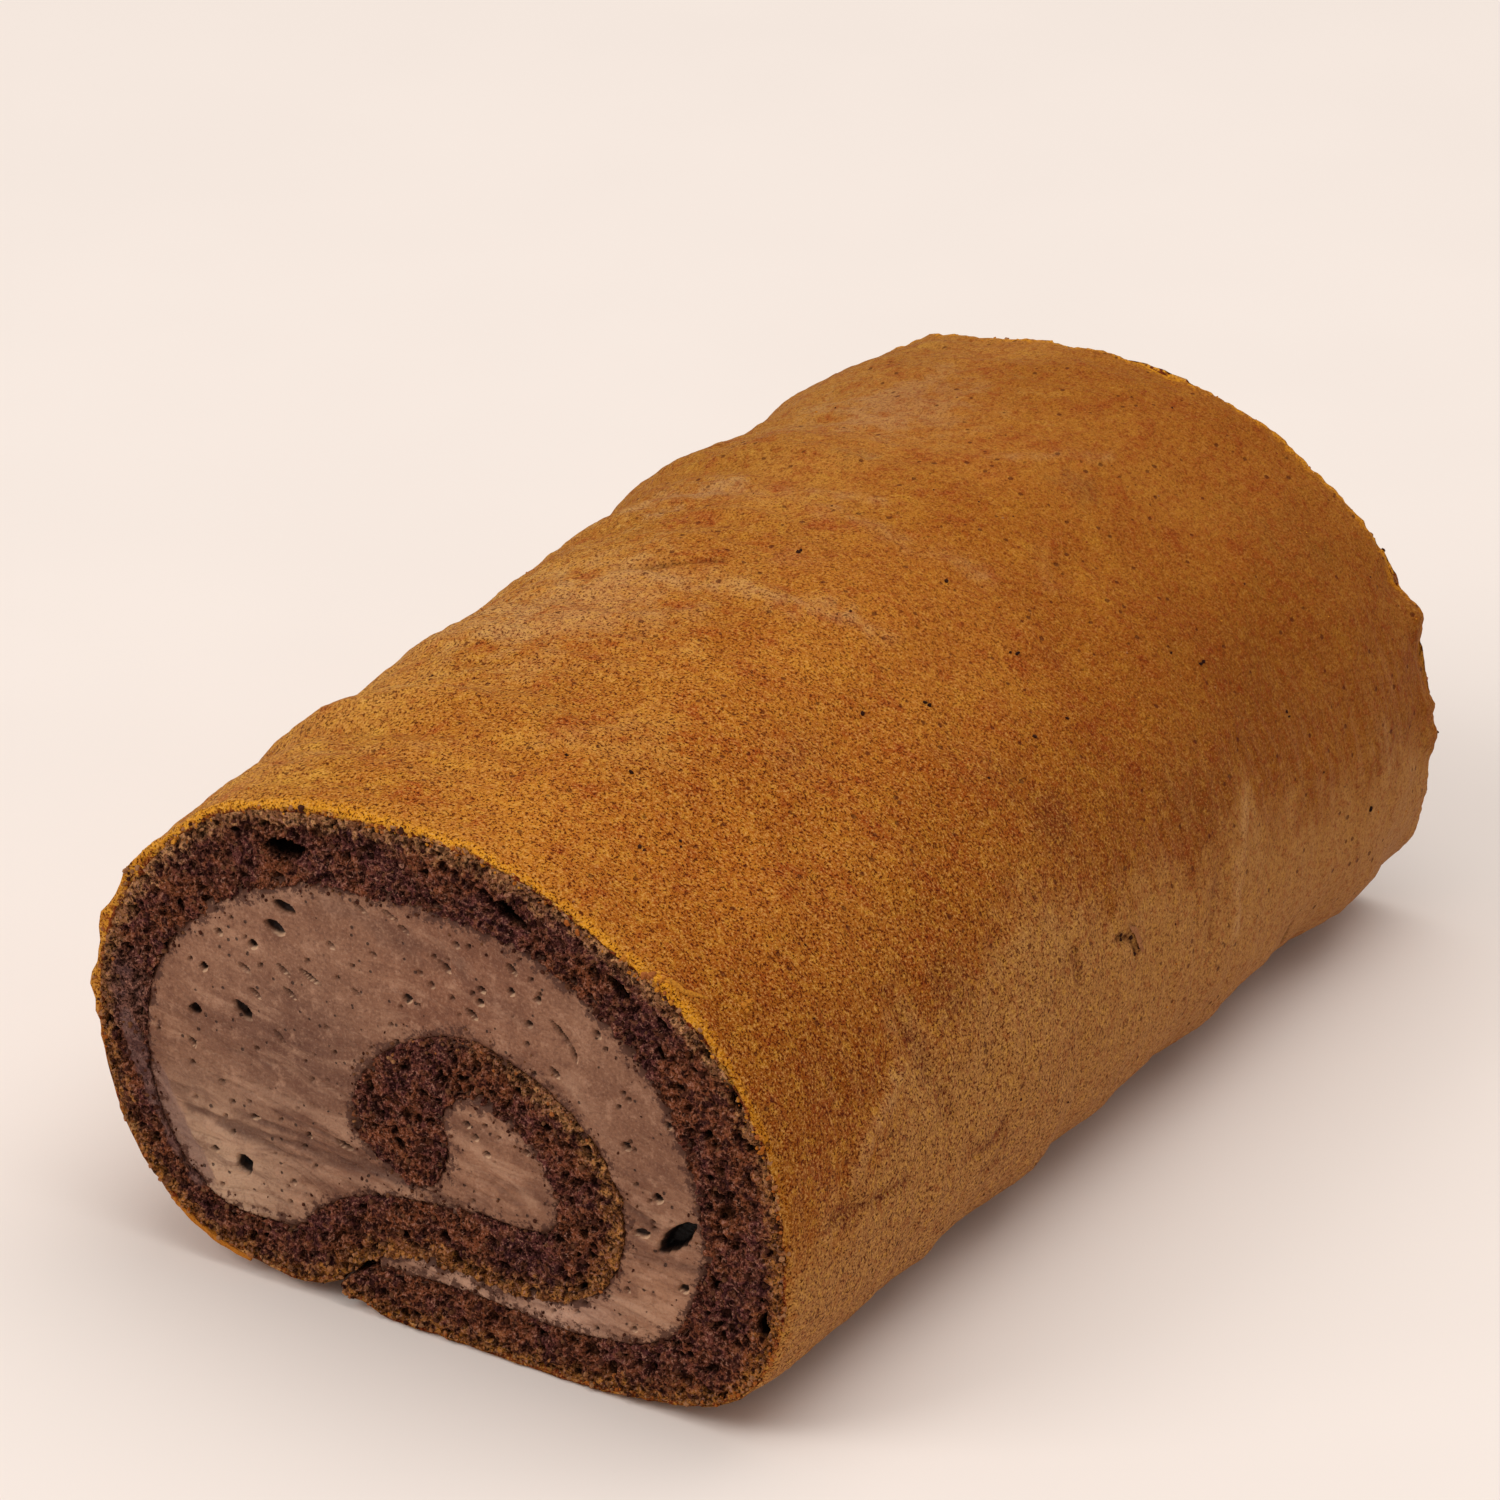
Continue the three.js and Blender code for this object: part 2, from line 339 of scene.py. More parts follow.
class Finish:
    """A procedural material, with short ways to add its nodes. Its tone is the colour laid so far.

    A colour of three numbers is given as it is seen, and one of four as shares of light."""

    def __init__(self, name, roughness=0.8, specular=0.2):
        self.material = bpy.data.materials.new(name)
        self.material.use_nodes = True
        self.tree = self.material.node_tree
        self.shader = self.tree.nodes["Principled BSDF"]
        self.shader.inputs["Roughness"].default_value = roughness
        self.shader.inputs["Specular IOR Level"].default_value = specular
        self.mm = self.vector("SCALE", self.add("TexCoord").outputs["Object"], 1 / MM)
        self.tone = None

    def add(self, kind, inputs=None, **settings):
        node = self.tree.nodes.new("ShaderNode" + kind)
        for key, value in settings.items():
            setattr(node, key, value)
        for key, value in (inputs or {}).items():
            if isinstance(value, bpy.types.NodeSocket):
                self.tree.links.new(value, node.inputs[key])
            else:
                node.inputs[key].default_value = value
        return node

    def vector(self, operation, first, second):
        place = "Scale" if operation == "SCALE" else 1
        node = self.add("VectorMath", {0: first, place: second}, operation=operation)
        return node.outputs["Value" if operation == "DISTANCE" else "Vector"]

    def number(self, operation, first, second=0.0):
        return self.add("Math", {0: first, 1: second}, operation=operation).outputs[0]

    def less(self, first, second):
        return self.number("SUBTRACT", first, second)

    def times(self, first, second):
        return self.number("MULTIPLY", first, second)

    def shaken(self, value, pattern, reach):
        """The value, made uneven by a pattern of 0 to 1."""
        return self.number("ADD", value, self.times(self.less(pattern, 0.5), reach))

    def axes(self, places):
        return self.add("SeparateXYZ", {0: places}).outputs[:]

    def stretched(self, x, y, z):
        """Places in millimetres, stretched so that a pattern grows by these factors."""
        return self.vector("MULTIPLY", self.mm, (1 / x, 1 / y, 1 / z))

    def noise(self, size, detail=2.0, roughness=0.5, at=None, output="Fac"):
        return self.add("TexNoise", {
            "Vector": at or self.mm, "Scale": 1 / size, "Detail": detail, "Roughness": roughness,
        }).outputs[output]

    def spots(self, size):
        """Distance to the nearest of a scatter of centres, and that centre's two random numbers."""
        node = self.add("TexVoronoi", {"Vector": self.mm, "Scale": 1 / size})
        own = self.add("SeparateColor", {0: node.outputs["Color"]}).outputs
        return node.outputs["Distance"], own[0], own[1]

    def attribute(self, name, output="Fac"):
        return self.add("Attribute", attribute_name=name).outputs[output]

    def spread(self, value, low, high, to_low=0.0, to_high=1.0, kind="SMOOTHSTEP"):
        return self.add("MapRange", {
            "Value": value, "From Min": low, "From Max": high, "To Min": to_low, "To Max": to_high,
        }, interpolation_type=kind).outputs[0]

    def ramp(self, value, stops):
        node = self.add("ValToRGB", {"Fac": value})
        points = node.color_ramp.elements
        while len(points) < len(stops):
            points.new(0.5)
        for point, (position, colour) in zip(points, stops):
            point.position = position
            point.color = colour
        return node.outputs["Color"]

    def mix(self, share, first, second, blend="MIX"):
        plain = [isinstance(colour, tuple) and len(colour) == 3 for colour in (first, second)]
        first, second = seen(*first) if plain[0] else first, seen(*second) if plain[1] else second
        return self.add("Mix", {0: share, 6: first, 7: second}, data_type="RGBA", blend_type=blend).outputs[2]

    def lay(self, share, tone):
        """Lays this share of a tone over the colour so far."""
        self.tone = self.mix(share, self.tone, tone)

    def stain(self, value, low, high, share, tone):
        """Lays a tone that comes in as the value goes from low to high, up to this share."""
        self.lay(self.spread(value, low, high, 0, share), tone)

    def dots(self, away, size, edges):
        """Dots of uneven size round a scatter of centres, fading out between these edges."""
        return self.spread(self.less(away, self.spread(size, 0, 1, *edges[:2])), *edges[2:])

    def done(self, *bumps):
        """The finished material. Bumps are pairs of (height, distance in mm), one over the other."""
        self.tree.links.new(self.tone, self.shader.inputs["Base Color"])
        normal = None
        for height, distance in bumps:
            inputs = {"Height": height, "Distance": distance * MM}
            if normal:
                inputs["Normal"] = normal
            normal = self.add("Bump", inputs).outputs["Normal"]
        if normal:
            self.tree.links.new(normal, self.shader.inputs["Normal"])
        return self.material


TONGUE_TONE = (124, 92, 84)
KNIFE_SLANT = -8  # degrees
FLATTEN = 1e4  # leaves the way along the roll out of a distance
CRUMB_RANGE = [
    # how light a loose crumb is, and its colour
    (0.0, (26, 12, 8)), (0.3, (78, 42, 30)), (0.55, (164, 114, 76)), (0.75, (166, 88, 32)),
    (1.0, (212, 142, 48)),
]


def skin_finish():
    """Golden brown baked skin with a fine dark grain, dark pores, and a bright torn edge at the cuts, with
    painted sheen on the shoulder and painted shade on the right side, towards the back and along the
    wrinkles.
    """
    f = Finish("browned_skin", 0.68, 0.05)
    around, from_front, torn_depth = f.axes(f.attribute("wrap", "Vector"))
    across, along, up = f.axes(f.mm)
    f.tone = f.mix(f.spread(f.noise(26, 3, 0.55), 0.34, 0.66), (166, 96, 22), (181, 111, 34))
    patchy = f.noise(6, 4, 0.74)
    f.stain(patchy, 0.5, 0.7, 0.7, (152, 60, 12))
    f.stain(patchy, 0.47, 0.3, 0.5, (200, 136, 38))
    # patches of tone, among them painted shade in a dip and painted sheen on the shoulder
    for distance, angle, reach, tone, share in SKIN_TONES:
        away = f.vector("DISTANCE", f.mm, skin_spot(distance, angle))
        f.stain(f.shaken(away, patchy, 4.5 * reach), 1.1 * reach, 0, 0.8 * share, tone)

    # paler on the shoulder and darker on the right side: painted sheen and light on the shoulder and painted
    # shade on the right side, over some of the bake's own tone; and darker towards the back, painted shade
    # where the light falls off
    low, high = ROUND_FROM, ROUND_TO
    facing = f.spread(f.shaken(f.attribute("facing"), patchy, 16.0), low, high, kind="LINEAR")
    stops = [((angle - low) / (high - low), (*(share / 2 for share in shares), 1.0))
             for angle, shares in ROUND_TONE_AND_LIGHT]
    f.tone = f.mix(1.0, f.tone, f.ramp(facing, stops), "MULTIPLY")
    f.tone = f.mix(1.0, f.tone, f.mix(f.spread(from_front, 5, LENGTH), EVEN_TONE, BACK_SHADE), "MULTIPLY")
    f.tone = f.vector("SCALE", f.tone, ROUND_GAIN)
    # darker towards the back: painted shade where the light falls off
    f.stain(from_front, 60, LENGTH, 0.35, (138, 76, 26))

    # the pale foot, the rubbed flank, and the wrinkles: partly rubbed pale and dark, partly painted light on
    # the raised wrinkles and painted shade in the sunken ones
    f.lay(f.times(f.attribute("foot"), 0.85), (170, 117, 60))
    wound = f.add("CombineXYZ", {0: f.times(around, 1 / 9), 1: from_front, 2: 0.0}).outputs[0]
    streaks = f.spread(f.noise(1.5, 3, 0.6, wound), 0.42, 0.68)
    flank = f.times(f.spread(across, 24, 46), f.spread(up, 56, 34))
    f.lay(f.times(streaks, f.times(flank, 0.24)), (182, 128, 78))
    # paler towards the bottom: partly the lower skin's own tan, partly painted light bounced up from the
    # floor
    f.stain(up, 30, 4, 0.5, (172, 120, 76))
    # pale raised wrinkles and dark sunken ones: partly rubbing, partly painted light and painted shade
    worn_and_shaded = f.attribute("worn_and_shaded")
    f.stain(worn_and_shaded, 0, 1, 0.55, (192, 142, 88))
    f.stain(worn_and_shaded, 0, -1, 0.7, (104, 48, 24))

    # bright close to the cuts, and torn at their edge
    blotch = f.noise(1.1, 3, 0.65)
    away, chance, size = f.spots(1.6)
    near_cut = f.spread(f.shaken(f.number("ABSOLUTE", along), blotch, 8.0), LENGTH / 2 - 1.8, LENGTH / 2)
    f.lay(f.times(near_cut, f.spread(up, 30, 60, 0.15, 0.8)), (230, 156, 34))
    golden = f.mix(f.spread(up, 20, 58), (152, 82, 32), (230, 158, 46))
    torn = f.mix(f.spread(f.shaken(torn_depth, blotch, 2.4), 0.25, 0.55), golden, (122, 56, 26))
    torn = f.mix(f.spread(chance, 0.66, 0.9, 0, 0.8), torn, (86, 40, 22))
    torn = f.mix(f.spread(size, 0.8, 1.0, 0, 0.6), torn, (222, 166, 108))
    f.lay(f.spread(torn_depth, 0.02, 0.3), torn)

    # grain, pores and scars, clearest at the front; the scars are darkened partly with painted shade
    clear, pale_grains = f.spread(from_front, 30, 140, 1.0, 0.42), f.spread(from_front, 30, 140, 1.0, 0.3)
    f.stain(blotch, 0.5, 0.66, 0.42, (134, 46, 8))
    f.lay(f.times(f.spread(blotch, 0.48, 0.33, 0, 0.35), pale_grains), (214, 153, 52))
    grain = f.noise(0.36, 2, 0.75)
    f.lay(f.times(f.spread(grain, 0.54, 0.6, 0, 0.92), clear), (72, 18, 0))
    f.lay(f.times(f.spread(grain, 0.46, 0.34, 0, 0.45), pale_grains), (232, 174, 96))
    pores = f.times(f.dots(away, size, (0.06, 0.24, 0.03, -0.08)), f.spread(chance, 0.55, 0.6))
    f.lay(f.times(pores, 0.7), (74, 22, 8))
    f.lay(f.times(f.spread(away, 0.12, 0.05), f.spread(chance, 0.3, 0.15, 0, 0.8)), (118, 24, 14))
    # darker along the scars: the crumb showing in the torn hook, and painted shade in the tear, the crack and
    # the low dent near the floor
    f.lay(f.times(f.attribute("scar_and_shade"), 0.7), (58, 26, 10))
    return f.done((blotch, 0.3), (grain, 0.2), (f.times(pores, -1.0), 0.12))


def crumb_finish():
    """Dark chocolate crumb full of pores, tan and speckled close under the browned skin."""
    f = Finish("chocolate_crumb", 0.85, 0.03)
    depth, pore, browned = (f.attribute(name) for name in ("depth", "pore", "browned"))
    across, _, up = f.axes(f.mm)
    clumps, broad = f.noise(1.6, 3, 0.65), f.noise(6, 3, 0.6)
    edges = f.add("TexVoronoi", {"Vector": f.mm, "Scale": 1 / 1.2}, feature="DISTANCE_TO_EDGE").outputs[0]
    away, chance, tint = f.spots(0.75)
    f.tone = f.mix(f.spread(broad, 0.42, 0.6), (104, 57, 52), (128, 71, 45))
    f.stain(clumps, 0.5, 0.62, 0.85, (52, 25, 28))
    f.stain(broad, 0.42, 0.32, 0.5, (52, 28, 34))
    f.stain(tint, 0.6, 0.9, 0.5, (142, 86, 56))

    # tan and golden under the browned skin, and cream that the knife smeared over it
    uneven = f.shaken(depth, clumps, 7.0)
    right_rim = f.times(f.spread(uneven, 3.6, 0.8), f.times(f.spread(across, 28, 44), browned))
    f.lay(f.times(right_rim, 0.8), (146, 64, 28))
    tan = f.times(f.spread(uneven, 3.2, 1.4), f.spread(up, 8, 50, 0.35, 1.0))
    tan = f.times(tan, f.spread(browned, 0.1, 0.6))
    f.lay(tan, f.mix(f.spread(tint, 0.2, 0.9), (136, 88, 58), (206, 152, 104)))
    golden = f.times(f.spread(f.shaken(depth, clumps, 9.0), 3.6, 0.8), browned)
    golden = f.times(golden, f.spread(up, 56, 22, 0.25, 1.0))
    f.lay(f.times(golden, 0.85), f.mix(f.spread(tint, 0.4, 0.9), (128, 76, 32), (184, 118, 48)))
    smeared = f.vector("DISTANCE", f.stretched(1, FLATTEN, 1.8), CREAM_ON_CRUMB)
    f.stain(f.shaken(smeared, clumps, 6.0), 4.5, 1.5, 0.55, (116, 86, 80))

    # hollows, grain and pores: painted shade in the hollows and deep in the pores
    cavity = f.times(f.spread(edges, 0.05, 0.34), f.spread(f.noise(2.6, 2), 0.42, 0.56))
    small = f.times(f.spread(away, 0.55, 0.2), f.spread(chance, 0.5, 0.7))
    f.lay(f.times(f.number("MAXIMUM", cavity, small), 0.9), f.mix(tan, (34, 13, 9), (38, 18, 10)))
    grain = f.noise(0.4, 2, 0.75)
    f.stain(grain, 0.53, 0.63, 0.82, (32, 10, 4))
    f.lay(f.times(f.spread(grain, 0.46, 0.35), f.spread(clumps, 0.58, 0.4, 0.25, 0.7)), (182, 128, 106))
    # painted shade deep in the pores and pockets
    f.stain(pore, 0.1, 0.75, 0.85, (18, 6, 1))
    f.stain(pore, 0.8, 1.3, 0.9, (6, 2, 1))
    f.lay(f.times(f.attribute("tongue"), 0.8), f.mix(f.spread(clumps, 0.4, 0.6), TONGUE_TONE, (96, 66, 62)))
    return f.done((edges, 0.6), (clumps, 0.5), (away, 0.3), (grain, 0.25))


def cream_finish():
    """Whipped milk chocolate cream, smeared and dotted by the knife, with crumbs dragged over its edge."""
    f = Finish("chocolate_cream", 0.52, 0.2)
    f.shader.inputs["Subsurface Weight"].default_value = 0.08
    f.shader.inputs["Subsurface Radius"].default_value = (1.0, 0.5, 0.3)
    f.shader.inputs["Subsurface Scale"].default_value = MM
    pore, wear_and_shade = f.attribute("pore"), f.attribute("wear_and_shade")
    across, _, up = f.axes(f.mm)
    f.tone = f.mix(f.spread(f.noise(13, 3, 0.5), 0.36, 0.64), (128, 85, 62), (148, 104, 78))
    on_cut = f.stretched(1, FLATTEN, 1)
    # painted light low on the cut and painted shade in its middle, over the filling's own uneven brown
    for (x, z), reach, tone, share in CREAM_LIGHT_AND_TONES:
        f.stain(f.vector("DISTANCE", on_cut, (x + MIDDLE_X, 0, z)), reach, 0, share, tone)

    # smears along the knife's way, lumps and marks; the marks are painted shade in their grooves and painted
    # light on their raised edges, over the cream's own smears
    lean = f.add("Mapping", {"Vector": f.mm, "Rotation": (0, math.radians(KNIFE_SLANT), 0)}).outputs[0]
    swirl = f.vector("ADD", lean, f.vector("SCALE", f.noise(16, output="Color"), 9.0))
    smear = f.noise(1.9, 3, 0.68, f.vector("MULTIPLY", swirl, (1 / 7, 1 / 7, 1)))
    upper_right = f.times(f.spread(across, 6, 26), f.spread(up, 26, 40, 0, -0.35))
    smeared = f.number("ADD", f.spread(up, 46, 28, 0.6, 1.0), upper_right)
    f.lay(f.times(f.spread(smear, 0.49, 0.66, 0, 0.45), smeared), (94, 56, 41))
    f.lay(f.times(f.spread(smear, 0.48, 0.32, 0, 0.42), smeared), (188, 144, 114))
    lumps = f.noise(3.0, 4, 0.7)
    f.stain(lumps, 0.5, 0.68, 0.5, (104, 62, 44))
    f.stain(lumps, 0.48, 0.32, 0.5, (184, 138, 110))
    # painted light on the knife's raised marks and painted shade in their grooves
    f.stain(wear_and_shade, 0, 1, 0.7, (196, 152, 122))
    f.stain(wear_and_shade, 0, -1, 0.7, (84, 50, 38))
    f.lay(f.times(f.attribute("tongue"), 0.65), TONGUE_TONE)

    # grain, painted highlights on the lower rims of the pockets, fine dots, painted shade deep in the
    # pockets, and the dark border beside the crumb
    grain, rough_parts = f.noise(0.4, 2, 0.7), f.spread(up, 18, 48, 0.5, 1.0)
    f.lay(f.times(f.spread(grain, 0.53, 0.66, 0, 0.34), rough_parts), (84, 44, 30))
    f.lay(f.times(f.spread(grain, 0.47, 0.33, 0, 0.2), rough_parts), (208, 162, 130))
    # painted highlight on the lower rim of each shallow pocket
    lit = f.spread(f.noise(5, 2), 0.38, 0.52, 0.3, 1.0)
    f.lay(f.times(f.spread(f.attribute("lip_highlight"), 0.2, 0.6, 0, 0.75), lit), (214, 172, 136))
    away, chance, size = f.spots(1.3)
    dots = f.times(f.dots(away, size, (0.06, 0.2, 0.02, -0.06)), f.spread(chance, 0.66, 0.7))
    f.lay(f.times(dots, 0.8), (44, 20, 12))
    edge = f.shaken(f.attribute("border"), f.noise(1.2, 3, 0.75), 9.0)
    f.stain(edge, 0.9, 0.3, 0.85, (66, 36, 27))
    f.stain(edge, 2.0, 0.4, 0.3, (104, 62, 42))
    # painted shade deep in the air pockets
    f.stain(pore, 0.25, 0.85, 0.94, (24, 10, 6))
    f.stain(pore, 1.0, 1.8, 0.9, (6, 2, 1))
    return f.done((lumps, 0.35), (smear, 0.4), (grain, 0.12), (f.times(dots, -1.0), 0.3))


def loose_finish():
    """Crumbs and burnt specks, each with its own tone from nearly black to golden."""
    f = Finish("loose_crumb", 0.85, 0.05)
    grain = f.noise(0.3, 2, 0.7)
    f.tone = f.ramp(f.attribute("tone"), [(at, seen(*tone)) for at, tone in CRUMB_RANGE])
    f.stain(grain, 0.5, 0.7, 0.5, (50, 24, 12))
    return f.done((grain, 0.2))


# The browned skin: one thin layer round the outside, from cut to cut

SKIN_AT_CUT = 0.8  # how thick the browned edge shows at a cut
SKIN_INSIDE = 2.6  # the layer's thickness away from the cuts, where nothing shows it
SKIN_CELL = 0.58
UNSEEN_CELL = 1.5
ROW_STEP = 0.74
UNSEEN_START, UNSEEN_END = 34, 62  # how far round from either end of the sheet the skin lies underneath
RIM_ROWS = [0.0, 0.22, 0.5, 0.9, 1.4, 2.0]  # rows close to a cut
SKIN_RADIUS = 50.0
SKIN_TONES = [
    # distance from the front cut, angle, reach, tone, share: rubbed, scorched and golden patches; the dark
    # patch at 88 mm and 118 degrees is painted shade in a dip, and the pale grey-tan ones on the shoulder are
    # painted sheen
    (33, 79, 10, (196, 140, 66), 0.4), (127, 68, 4, (118, 62, 36), 0.6), (12, -5, 5, (112, 62, 20), 0.4),
    (24, 50, 13, (192, 112, 22), 0.35), (14, 78, 11, (190, 116, 28), 0.3), (74, 23, 6, (112, 44, 22), 0.7),
    (60, 118, 20, (188, 138, 84), 0.3), (66, 36, 7, (136, 58, 28), 0.5), (41, 14, 7, (112, 56, 24), 0.6),
    (102, 12, 9, (116, 56, 26), 0.4), (121, 28, 10, (124, 62, 20), 0.25), (85, 92, 5, (148, 64, 36), 0.5),
    (47, 58, 6, (140, 70, 40), 0.5), (94, 45, 4, (140, 56, 24), 0.5), (121, 81, 4, (164, 74, 34), 0.4),
    (114, 107, 4, (120, 76, 38), 0.5), (88, 118, 7, (150, 84, 24), 0.5), (97, 126, 9, (186, 134, 84), 0.35),
    (90, 70, 13, (166, 88, 20), 0.45), (146, 36, 10, (116, 68, 26), 0.35),
    (132, 112, 14, (178, 130, 80), 0.35), (50, 84, 16, (186, 112, 30), 0.3),
    (148, -2, 8, (150, 104, 60), 0.4), (58, 49, 8, (174, 96, 26), 0.4),
]
ROUND_TONE_AND_LIGHT = [
    # angle, and the shares of red, green and blue: pale on the shoulder, with painted sheen and light, and
    # dark on the right side, with painted shade, over some of the bake's own tone
    (-50, (0.62, 0.53, 0.5)), (14, (0.61, 0.52, 0.44)), (26, (0.69, 0.6, 0.47)), (35, (0.78, 0.69, 0.58)),
    (46, (0.85, 0.77, 0.67)), (57, (0.86, 0.78, 0.69)), (70, (0.94, 0.89, 0.84)), (84, (0.99, 1.0, 1.06)),
    (97, (1.0, 1.05, 1.32)), (111, (1.03, 1.13, 1.62)), (124, (1.03, 1.25, 2.0)), (160, (1.0, 1.16, 1.9)),
    (230, (0.85, 0.9, 1.1)),
]
ROUND_FROM, ROUND_TO = -60, 240  # the angles that the table spans
ROUND_GAIN = 2.28
EVEN_TONE, BACK_SHADE = (1.0, 1.0, 1.0, 1.0), (0.88, 0.93, 1.08, 1.0)  # at the front cut, and towards the back, where painted shade stands for the light falling off
FOOT_EDGE = [
    # the pale foot of the right side ends here: distance from the front cut, angle
    (0, -8), (14, -4), (30, 10), (33, 17), (36, 7), (50, 12), (62, 19), (70, 12), (78, 7), (90, 9), (98, 3),
    (108, 4), (113, 11), (116, 2), (130, 0), (162, -5),
]
WRINKLES = [
    # trail of (distance from the front cut, angle), half width, height, and how pale (or dark) it is painted:
    # partly rubbing, partly painted light on a raised wrinkle and painted shade in a sunken one
    ([(13.8, -1), (17.2, 1.9), (22.7, 5), (28.7, 8.3), (29.4, 16)], 1.1, 0.35, 0.8),
    ([(30.8, 18), (30.9, 12.5), (32.2, 8), (34.2, 2.8), (36, -3)], 1.0, -0.5, -1.1),
    ([(9.5, -5), (13.4, -5.2), (20.1, -6.7), (25.7, -7.5)], 0.7, -0.45, -1.2),
    ([(112.2, 8.7), (107.7, 0.2), (106.3, -9.4)], 1.0, 0.35, 1.0),
    ([(102.8, 1), (99.8, -8)], 0.9, -0.3, -0.7), ([(67.1, 6), (66.9, 1)], 0.6, -0.35, -1.1),
    ([(42.3, -12.9), (46.3, -12.8), (48.7, -11.4)], 0.8, -0.35, -1.0),
    ([(71, 114), (72, 98), (73.5, 84), (75.5, 74)], 1.9, 0.35, 0.8),
    ([(75.5, 74), (76.5, 66)], 1.2, 0.2, 0.5), ([(98, 100), (97.5, 80), (100, 64)], 1.7, 0.25, 0.5),
    ([(55, 117), (60, 106), (66, 95)], 0.8, 0.25, 0.6), ([(48.5, 138), (51, 120)], 1.2, 0.35, 0.6),
    ([(124, 84), (130, 75), (136, 68)], 1.2, 0.2, 0.5), ([(103, 104), (105, 92)], 1.0, 0.2, 0.5),
    ([(25, 92), (35, 82)], 1.4, 0.2, 0.4), ([(62, 2), (66, 6)], 0.8, -0.2, -0.6),
    ([(45, -17), (50, -15)], 0.9, -0.25, -0.7), ([(111, 62), (106, 54)], 1.2, 0.2, 0.3),
    ([(146.5, 4), (147.5, -6)], 1.1, 0.15, 0.5), ([(60, 128), (62, 116)], 1.3, -0.35, -0.2),
    ([(40, 132), (43, 112), (46, 100)], 1.2, -0.25, -0.2), ([(85, 134), (88, 112)], 2.2, -0.3, -0.2),
    ([(92, 132), (97, 118), (101, 108)], 1.6, 0.35, 0.4), ([(104, 134), (110, 118)], 1.4, -0.3, -0.2),
    ([(120, 136), (122, 122), (128, 110)], 1.6, 0.3, 0.4), ([(28, 128), (34, 112)], 1.4, 0.25, 0.3),
    ([(14, 126), (18, 108)], 1.3, 0.25, 0.4),
]
SHOULDER_LINE = [
    # the shoulder is scalloped: distance from the front cut, and height
    (0, 0.6), (4, 0.5), (8, 0.2), (12, -0.1), (18, -0.4), (21.5, -1.2), (24.5, -0.7), (28, 0.2), (31, -0.2),
    (34, -1.1), (36.5, -1.7), (39, -0.8), (43, -0.1), (50, 0.1), (56, -0.7), (60, -1.1), (62.5, -1.5),
    (65, -0.8), (71, -0.8), (76, -0.1), (92, -0.1), (100, -0.5), (106, -0.3), (112, 0.4), (117, -0.2),
    (121, -1.2), (124.5, -1.6), (129, -0.7), (138, -0.4), (148, 0.0), (158, -0.3), (162, -0.5),
]
FOOT_LINE = [
    # the foot of the right side waves in and out: distance from the front cut, and height
    (30, 0.0), (38, 0.4), (46, -0.5), (54, 0.0), (62, 0.8), (67, -0.3), (80, 0.0), (98, 0.0), (107, 0.5),
    (115, 0.2), (124, -0.4), (134, -0.6), (139, 0.2), (145, 0.9), (152, 0.3), (158, -0.2),
]
WAVES = [
    # line, its middle angle, spread, and slant in mm a degree
    (SHOULDER_LINE, 142, 36, 0.04), (FOOT_LINE, -27, 15, 0),
]
CREASES = [
    # distance from the front cut, angle, depth, width, half spread in degrees, slant in mm a degree
    (37, 138, 0.15, 1.3, 22, 0.05), (64, 136, 0.2, 1.5, 26, 0.06), (99, 138, 0.5, 1.6, 30, -0.03),
    (125, 138, 0.2, 1.8, 26, -0.05), (75, 111, 0.45, 0.7, 9, -0.35), (52, 118, 0.3, 1.3, 14, 0.2),
    (88, 112, 0.35, 1.5, 14, -0.1), (118, 108, 0.3, 1.6, 14, 0.1), (22, 128, 0.35, 1.2, 16, 0.1),
]
RIM_NUBS = [
    # distance from the front cut, angle, height, reach in mm
    (0.6, 176.9, 1.0, 1.1), (0.4, 166, 0.5, 1.6), (0.4, 152, 0.4, 1.4), (1.0, 38.9, 0.7, 1.3),
    (0.5, 197, 0.4, 1.2), (160.6, 14.5, 1.7, 1.9), (161, 8.5, -0.7, 1.5), (160.6, 0, 0.8, 1.5),
    (161, -5, 1.2, 1.8), (160, -22, 0.6, 1.6), (160.5, 24, 0.5, 1.6), (8.5, 29.3, 0.3, 0.8),
    (162, 120, 0.6, 7), (0.4, 156.5, 1.0, 2.2), (162, 76, -0.4, 4), (162, 53, 0.5, 6),
    (161.5, 21, -0.9, 2.2),
]
SCARS = [
    # a torn hook, a fine crack and a short dent low on the right side: places as (distance from the front
    # cut, angle), then depth and half width; they are darkened by the crumb that shows in the tear and by
    # painted shade
    ([(77.3, 2.8), (79.9, 1.8), (80.8, 0.2), (81.6, -1.6)], 0.7, 0.55),
    ([(72.3, 118.4), (74.5, 112), (78.2, 102.2)], 0.35, 0.5), ([(126, -20), (127, -27)], 0.4, 0.6),
]


def skin_spot(distance, angle):
    """The frame place, in millimetres, of this spot on the skin before it swells."""
    x, z = OUTER_SKIN[np.argmin(np.abs(angles(*OUTER_SKIN.T) - angle))]
    return (x + MIDDLE_X, distance - LENGTH / 2, z)


def on_skin(angle):
    """Millimetres round the skin at this angle."""
    return np.radians(angle) * SKIN_RADIUS


def beside_on_skin(angle, from_front, trail):
    return beside(from_front, on_skin(angle), [(distance, on_skin(spot)) for distance, spot in trail])


def scars(angle, from_front):
    """How deep the skin's torn places are, and how much each point is scarred, darkened partly with painted
    shade.
    """
    depth, share = np.zeros_like(angle), np.zeros_like(angle)
    for trail, deep, reach in SCARS:
        off = beside_on_skin(angle, from_front, trail) / reach
        depth = np.maximum(depth, deep * np.exp(-off ** 2))
        share = np.maximum(share, np.exp(-off ** 2 * 1.4))
    return depth, share


